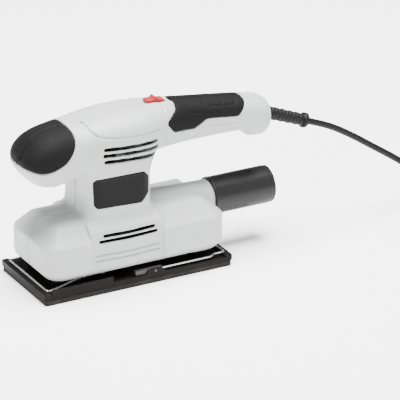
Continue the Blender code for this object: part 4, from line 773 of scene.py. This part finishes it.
def add_materials():
    """Every finish by its slot: its name, two tones, roughness and spread, pattern scale and relief."""
    groups = {"grain": grain_group(), "dust": dust_group(), "bands": bands_group()}

    def make(*values, **settings):
        return finish(groups, *values, **settings)

    return {
        "shell": make(
            "shell_plastic", (0.375, 0.380, 0.384), (0.405, 0.410, 0.414),
            0.45, 0.05, 1900.0, 0.16, dust=0.04,
        ),
        "soft_grip": make(
            "grip_rubber", (0.0045, 0.0042, 0.0044), (0.008, 0.0076, 0.0079),
            0.66, 0.06, 1500.0, 0.35, specular=0.06,
        ),
        "label": make(
            "label_film", (0.005, 0.0046, 0.0048), (0.008, 0.0075, 0.0078),
            0.38, 0.03, 700.0, 0.05, specular=0.06,
        ),
        "switch_red": make(
            "switch_plastic", (0.27, 0.008, 0.016), (0.34, 0.014, 0.024),
            0.40, 0.04, 1300.0, 0.08, coat=0.05, specular=0.15,
        ),
        "black_part": make(
            "black_plastic", (0.0045, 0.0040, 0.0038), (0.008, 0.0074, 0.007),
            0.50, 0.06, 1400.0, 0.22, dust=0.012, specular=0.06,
        ),
        "tube_rubber": make(
            "tube_plastic", (0.006, 0.0056, 0.0058), (0.010, 0.0095, 0.0098),
            0.42, 0.04, 1700.0, 0.12, dust=0.03, specular=0.22,
        ),
        "cord_rubber": make(
            "cord_sheath", (0.005, 0.0048, 0.005), (0.009, 0.0087, 0.009),
            0.50, 0.05, 1600.0, 0.2, specular=0.12,
        ),
        "bright_steel": make(
            "plated_wire", (0.55, 0.55, 0.56), (0.68, 0.67, 0.66),
            0.24, 0.08, 260.0, 0.06, metallic=1.0, bands=6.0, stretch=(1, 1, 4),
        ),
        "core_steel": make(
            "laminated_steel", (0.10, 0.10, 0.11), (0.22, 0.22, 0.23),
            0.48, 0.08, 320.0, 0.5, metallic=1.0, bands=0.3,
        ),
        "tab_plastic": make(
            "tab_plastic", (0.015, 0.015, 0.015), (0.024, 0.0235, 0.0225),
            0.42, 0.06, 1400.0, 0.2, dust=0.08, specular=0.35,
        ),
        "copper": make(
            "enamelled_copper", (0.16, 0.06, 0.025), (0.34, 0.15, 0.07),
            0.42, 0.07, 230.0, 0.8, metallic=1.0, coat=0.1, bands=1.2,
        ),
        "brass": make(
            "dull_brass", (0.30, 0.22, 0.10), (0.42, 0.33, 0.17),
            0.40, 0.07, 420.0, 0.08, metallic=1.0, bands=5.0,
        ),
        "carbon": make("graphite", (0.02, 0.02, 0.021), (0.04, 0.04, 0.042), 0.6, 0.1, 2400.0, 0.3),
        "zinc": make(
            "cast_zinc", (0.30, 0.30, 0.32), (0.42, 0.42, 0.44),
            0.48, 0.08, 900.0, 0.3, metallic=1.0,
        ),
        "foam": make(
            "sole_foam", (0.006, 0.0055, 0.0052), (0.018, 0.0165, 0.0155),
            0.88, 0.06, 1500.0, 1.0, dust=0.06, specular=0.2,
        ),
        "pillar_rubber": make(
            "pillar_rubber", (0.012, 0.012, 0.012), (0.022, 0.0215, 0.021),
            0.72, 0.06, 1200.0, 0.3, dust=0.08, specular=0.25,
        ),
    }


# Pieces made by turning a profile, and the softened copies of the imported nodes


def turned_mesh(profile, start, along, bumps=None, count=96):
    """Points and quads of a closed profile of (along, radius), turned round a straight line.

    A point is start + s along + r (cos(angle) side + sin(angle) up), and bumps(s, angle) is added to r."""
    along = np.array(along, float)
    along /= np.linalg.norm(along)
    side = np.array((0.0, 1.0, 0.0))
    up = np.cross(along, side)
    angle = np.linspace(0, 2 * np.pi, count, endpoint=False)
    s, r = (np.array([p[k] for p in profile], float)[:, None] for k in (0, 1))
    r = np.broadcast_to(r, (len(profile), count)).copy()
    if bumps is not None:
        r += bumps(s, angle[None, :])
    spoke = np.cos(angle)[None, :, None] * side + np.sin(angle)[None, :, None] * up
    points = np.array(start)[None, None] + s[..., None] * along + r[..., None] * spoke
    rows, columns = np.meshgrid(np.arange(len(profile)), np.arange(count), indexing="ij")
    below, right = (rows + 1) % len(profile), (columns + 1) % count
    here, there = rows * count, below * count
    quads = np.stack([here + columns, here + right, there + right, there + columns], axis=-1)
    return points.reshape(-1, 3), quads.reshape(-1, 4)


GUARD_START, GUARD_LENGTH = -10.5, 46.8  # mm along the lead from where it leaves the handle
GUARD_FLANGE = (-8.0, -5.3)
GUARD_RADIUS, GUARD_TAPER, GUARD_BORE = 5.9, 0.5, 3.4
CELL_PITCH = 8.0


def cord_guard(material):
    """The bend protector: staggered cells round a bore, with a flange inside the handle and one at the end."""
    s = np.linspace(GUARD_START, GUARD_LENGTH, 300)
    flange = (s > GUARD_FLANGE[0]) & (s < GUARD_FLANGE[1])
    barrel = GUARD_RADIUS - GUARD_TAPER * np.clip(s, 0, None) / GUARD_LENGTH
    r = np.where(flange, 9.0, np.where(s > GUARD_LENGTH - 3.0, 7.1, barrel))
    bore = [(at, GUARD_BORE) for at in np.linspace(GUARD_LENGTH, GUARD_START, 12)]
    profile = list(zip(s, r)) + bore

    def cells(s, angle):
        """Waves along the lead, strongest at the sides, and half a wave later at the top and bottom."""
        open_part = (s > 2.5) & (s < GUARD_LENGTH - 4.5)
        outside = np.arange(len(profile))[:, None] < len(r)
        wave = np.cos(2 * np.pi * s / CELL_PITCH) * 1.6
        first = np.clip(wave, -0.6, 1) * np.abs(np.cos(angle)) ** 0.7
        second = np.clip(-wave, -0.6, 1) * np.abs(np.sin(angle)) ** 0.7
        return np.where(open_part & outside, 0.75 * np.maximum(first, second) - 0.35, 0.0)

    points, quads = turned_mesh(profile, CORD_EXIT, tuple(GUARD_AXIS), cells)
    mesh_of("cord_guard", points, quads, material, "housing", ["cord_sleeve"])


def rounded_profile(corners, radius, steps=5):
    """A closed profile whose corners are parabolas that start radius before each corner."""
    out = []
    pts = [np.array(c, float) for c in corners]
    for before, here, after in zip(pts[-1:] + pts[:-1], pts, pts[1:] + pts[:1]):
        a = here + (before - here) / np.linalg.norm(before - here) * radius
        b = here + (after - here) / np.linalg.norm(after - here) * radius
        for t in np.linspace(0, 1, steps):
            out.append(tuple(a * (1 - t) ** 2 + here * 2 * t * (1 - t) + b * t * t))
        out.append(tuple((b + after) / 2))
    return out


def dust_tube(material):
    """The push-on dust tube: a plain wall with a thin bead at its mouth and a step at its free end."""
    corners = [
        (0.3, 15.2), (62.3, 15.2), (62.3, 17.2), (59.0, 17.2), (58.6, 17.5), (3.4, 17.5), (3.0, 17.7), (0.3, 17.7),
    ]
    profile = rounded_profile(corners, 0.35)[::-1]
    points, quads = turned_mesh(profile, (COLLAR_END, 0.0, DUCT_Z), (1, 0, 0), count=128)
    mesh_of("dust_pipe", points, quads, material, "dust_adapter", ["dust_tube"])


def softened(name, material, width):
    """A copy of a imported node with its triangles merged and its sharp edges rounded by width."""
    source = frame["nodes"][name]
    mesh = source.data.copy()
    work = bmesh.new()
    work.from_mesh(mesh)
    bmesh.ops.remove_doubles(work, verts=work.verts, dist=2e-6)
    bmesh.ops.dissolve_limit(work, angle_limit=math.radians(1), verts=work.verts, edges=work.edges)
    for edge in work.edges:
        edge.smooth = edge.calc_face_angle(0) < math.radians(33)
    for face in work.faces:
        face.smooth = True
    work.to_mesh(mesh)
    work.free()
    piece = bpy.data.objects.new(f"{name}_soft", mesh)
    bpy.context.scene.collection.objects.link(piece)
    mesh.materials.clear()
    mesh.materials.append(material)
    if width:
        bevel = piece.modifiers.new("soft_edges", "BEVEL")
        bevel.width, bevel.segments, bevel.limit_method = width * MM, 2, "ANGLE"
        bevel.angle_limit = math.radians(33)
        bevel.harden_normals = True
    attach(piece, source["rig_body"])
    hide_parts(name)


FINISHES = {  # by material, the nodes that take it and how many mm of their edges are rounded
    "black_part": [
        ("platen_deck", 0.35), ("switch_module", 0.4), ("fan", 0.2), ("fan_baffle", 0.2), ("cord_clamp", 0.2),
        ("plug_body", 0.6),
    ],
    "tab_plastic": [("rear_clamp_tab", 0.4), ("front_clamp_tab", 0.4)],
    "switch_red": [("switch_button", 0.35)],
    "cord_rubber": [("cord_lead", 0)],
    "bright_steel": [
        ("rear_clamp_wire", 0), ("front_clamp_wire", 0), ("rotor_shaft", 0.2), ("platen_bearing", 0.25),
        ("platen_screw", 0.2), ("bearing_lower", 0.25), ("bearing_upper", 0.25),
        *((f"housing_screw_{i}", 0.2) for i in range(1, 8)), *((f"pillar_screw_{i}", 0.2) for i in range(1, 5)),
        *((f"cord_clamp_screw_{i}", 0.15) for i in (1, 2)),
    ],
    "core_steel": [("stator_core", 0.2), ("armature_core", 0.15)],
    "copper": [("armature_winding", 0.8), ("field_coil_1", 0.8), ("field_coil_2", 0.8), ("commutator", 0.2)],
    "brass": [("plug_pin_1", 0.4), ("plug_pin_2", 0.4)],
    "carbon": [
        ("carbon_brush_1", 0.15), ("carbon_brush_2", 0.15), ("brush_holder_1", 0.2), ("brush_holder_2", 0.2),
    ],
    "zinc": [("eccentric", 0.3)],
    "foam": [("sole_pad", 0.4)],
    "pillar_rubber": [(f"pillar_{i}", 0.5) for i in range(1, 5)],
}


# Studio


WORLD_LIGHT = 0.42
FLOOR_GLOW = 0.45
LAMPS = [  # name, place in metres, watts, and side
    ("overhead", (0.15, 0.0, 2.0), 230, 1.3),
    ("front", (-1.7, -1.0, 0.9), 22, 0.8),
    ("side", (0.9, -1.7, 1.2), 8, 0.8),
]


def add_floor():
    """A pale plain floor far larger than the view."""
    half = 6.0
    mesh = bpy.data.meshes.new("floor")
    mesh.from_pydata([(-half, -half, 0), (half, -half, 0), (half, half, 0), (-half, half, 0)], [], [(0, 1, 2, 3)])
    floor = bpy.data.objects.new("floor", mesh)
    bpy.context.scene.collection.objects.link(floor)
    made = bpy.data.materials.new("floor_paper")
    made.use_nodes = True
    paper = made.node_tree.nodes["Principled BSDF"].inputs
    paper["Base Color"].default_value = (0.96, 0.96, 0.96, 1)
    paper["Roughness"].default_value = 0.9
    paper["Emission Color"].default_value = (1, 1, 1, 1)
    paper["Emission Strength"].default_value = FLOOR_GLOW
    mesh.materials.append(made)


def add_lamp(name, place, watts, size):
    """A soft square light that faces the sander."""
    data = bpy.data.lights.new(name, "AREA")
    data.energy, data.size = watts, size
    made = bpy.data.objects.new(name, data)
    bpy.context.scene.collection.objects.link(made)
    made.location = place
    made.rotation_euler = (Vector((0, 0, 0.08)) - Vector(place)).to_track_quat("-Z", "Y").to_euler()


def add_studio():
    """The floor, an even white surrounding and three soft lamps."""
    add_floor()
    world = bpy.data.worlds.new("studio")
    bpy.context.scene.world = world
    world.use_nodes = True
    world.node_tree.nodes["Background"].inputs["Color"].default_value = (1, 1, 1, 1)
    world.node_tree.nodes["Background"].inputs["Strength"].default_value = WORLD_LIGHT
    for lamp in LAMPS:
        add_lamp(*lamp)


def main():
    """Makes every piece with its material, and then the studio."""
    materials = add_materials()
    add_cord(materials["cord_rubber"])
    add_housing(materials)
    cord_guard(materials["cord_rubber"])
    dust_tube(materials["tube_rubber"])
    for finish_name, nodes in FINISHES.items():
        for name, width in nodes:
            softened(name, materials[finish_name], width)
    add_studio()


main()
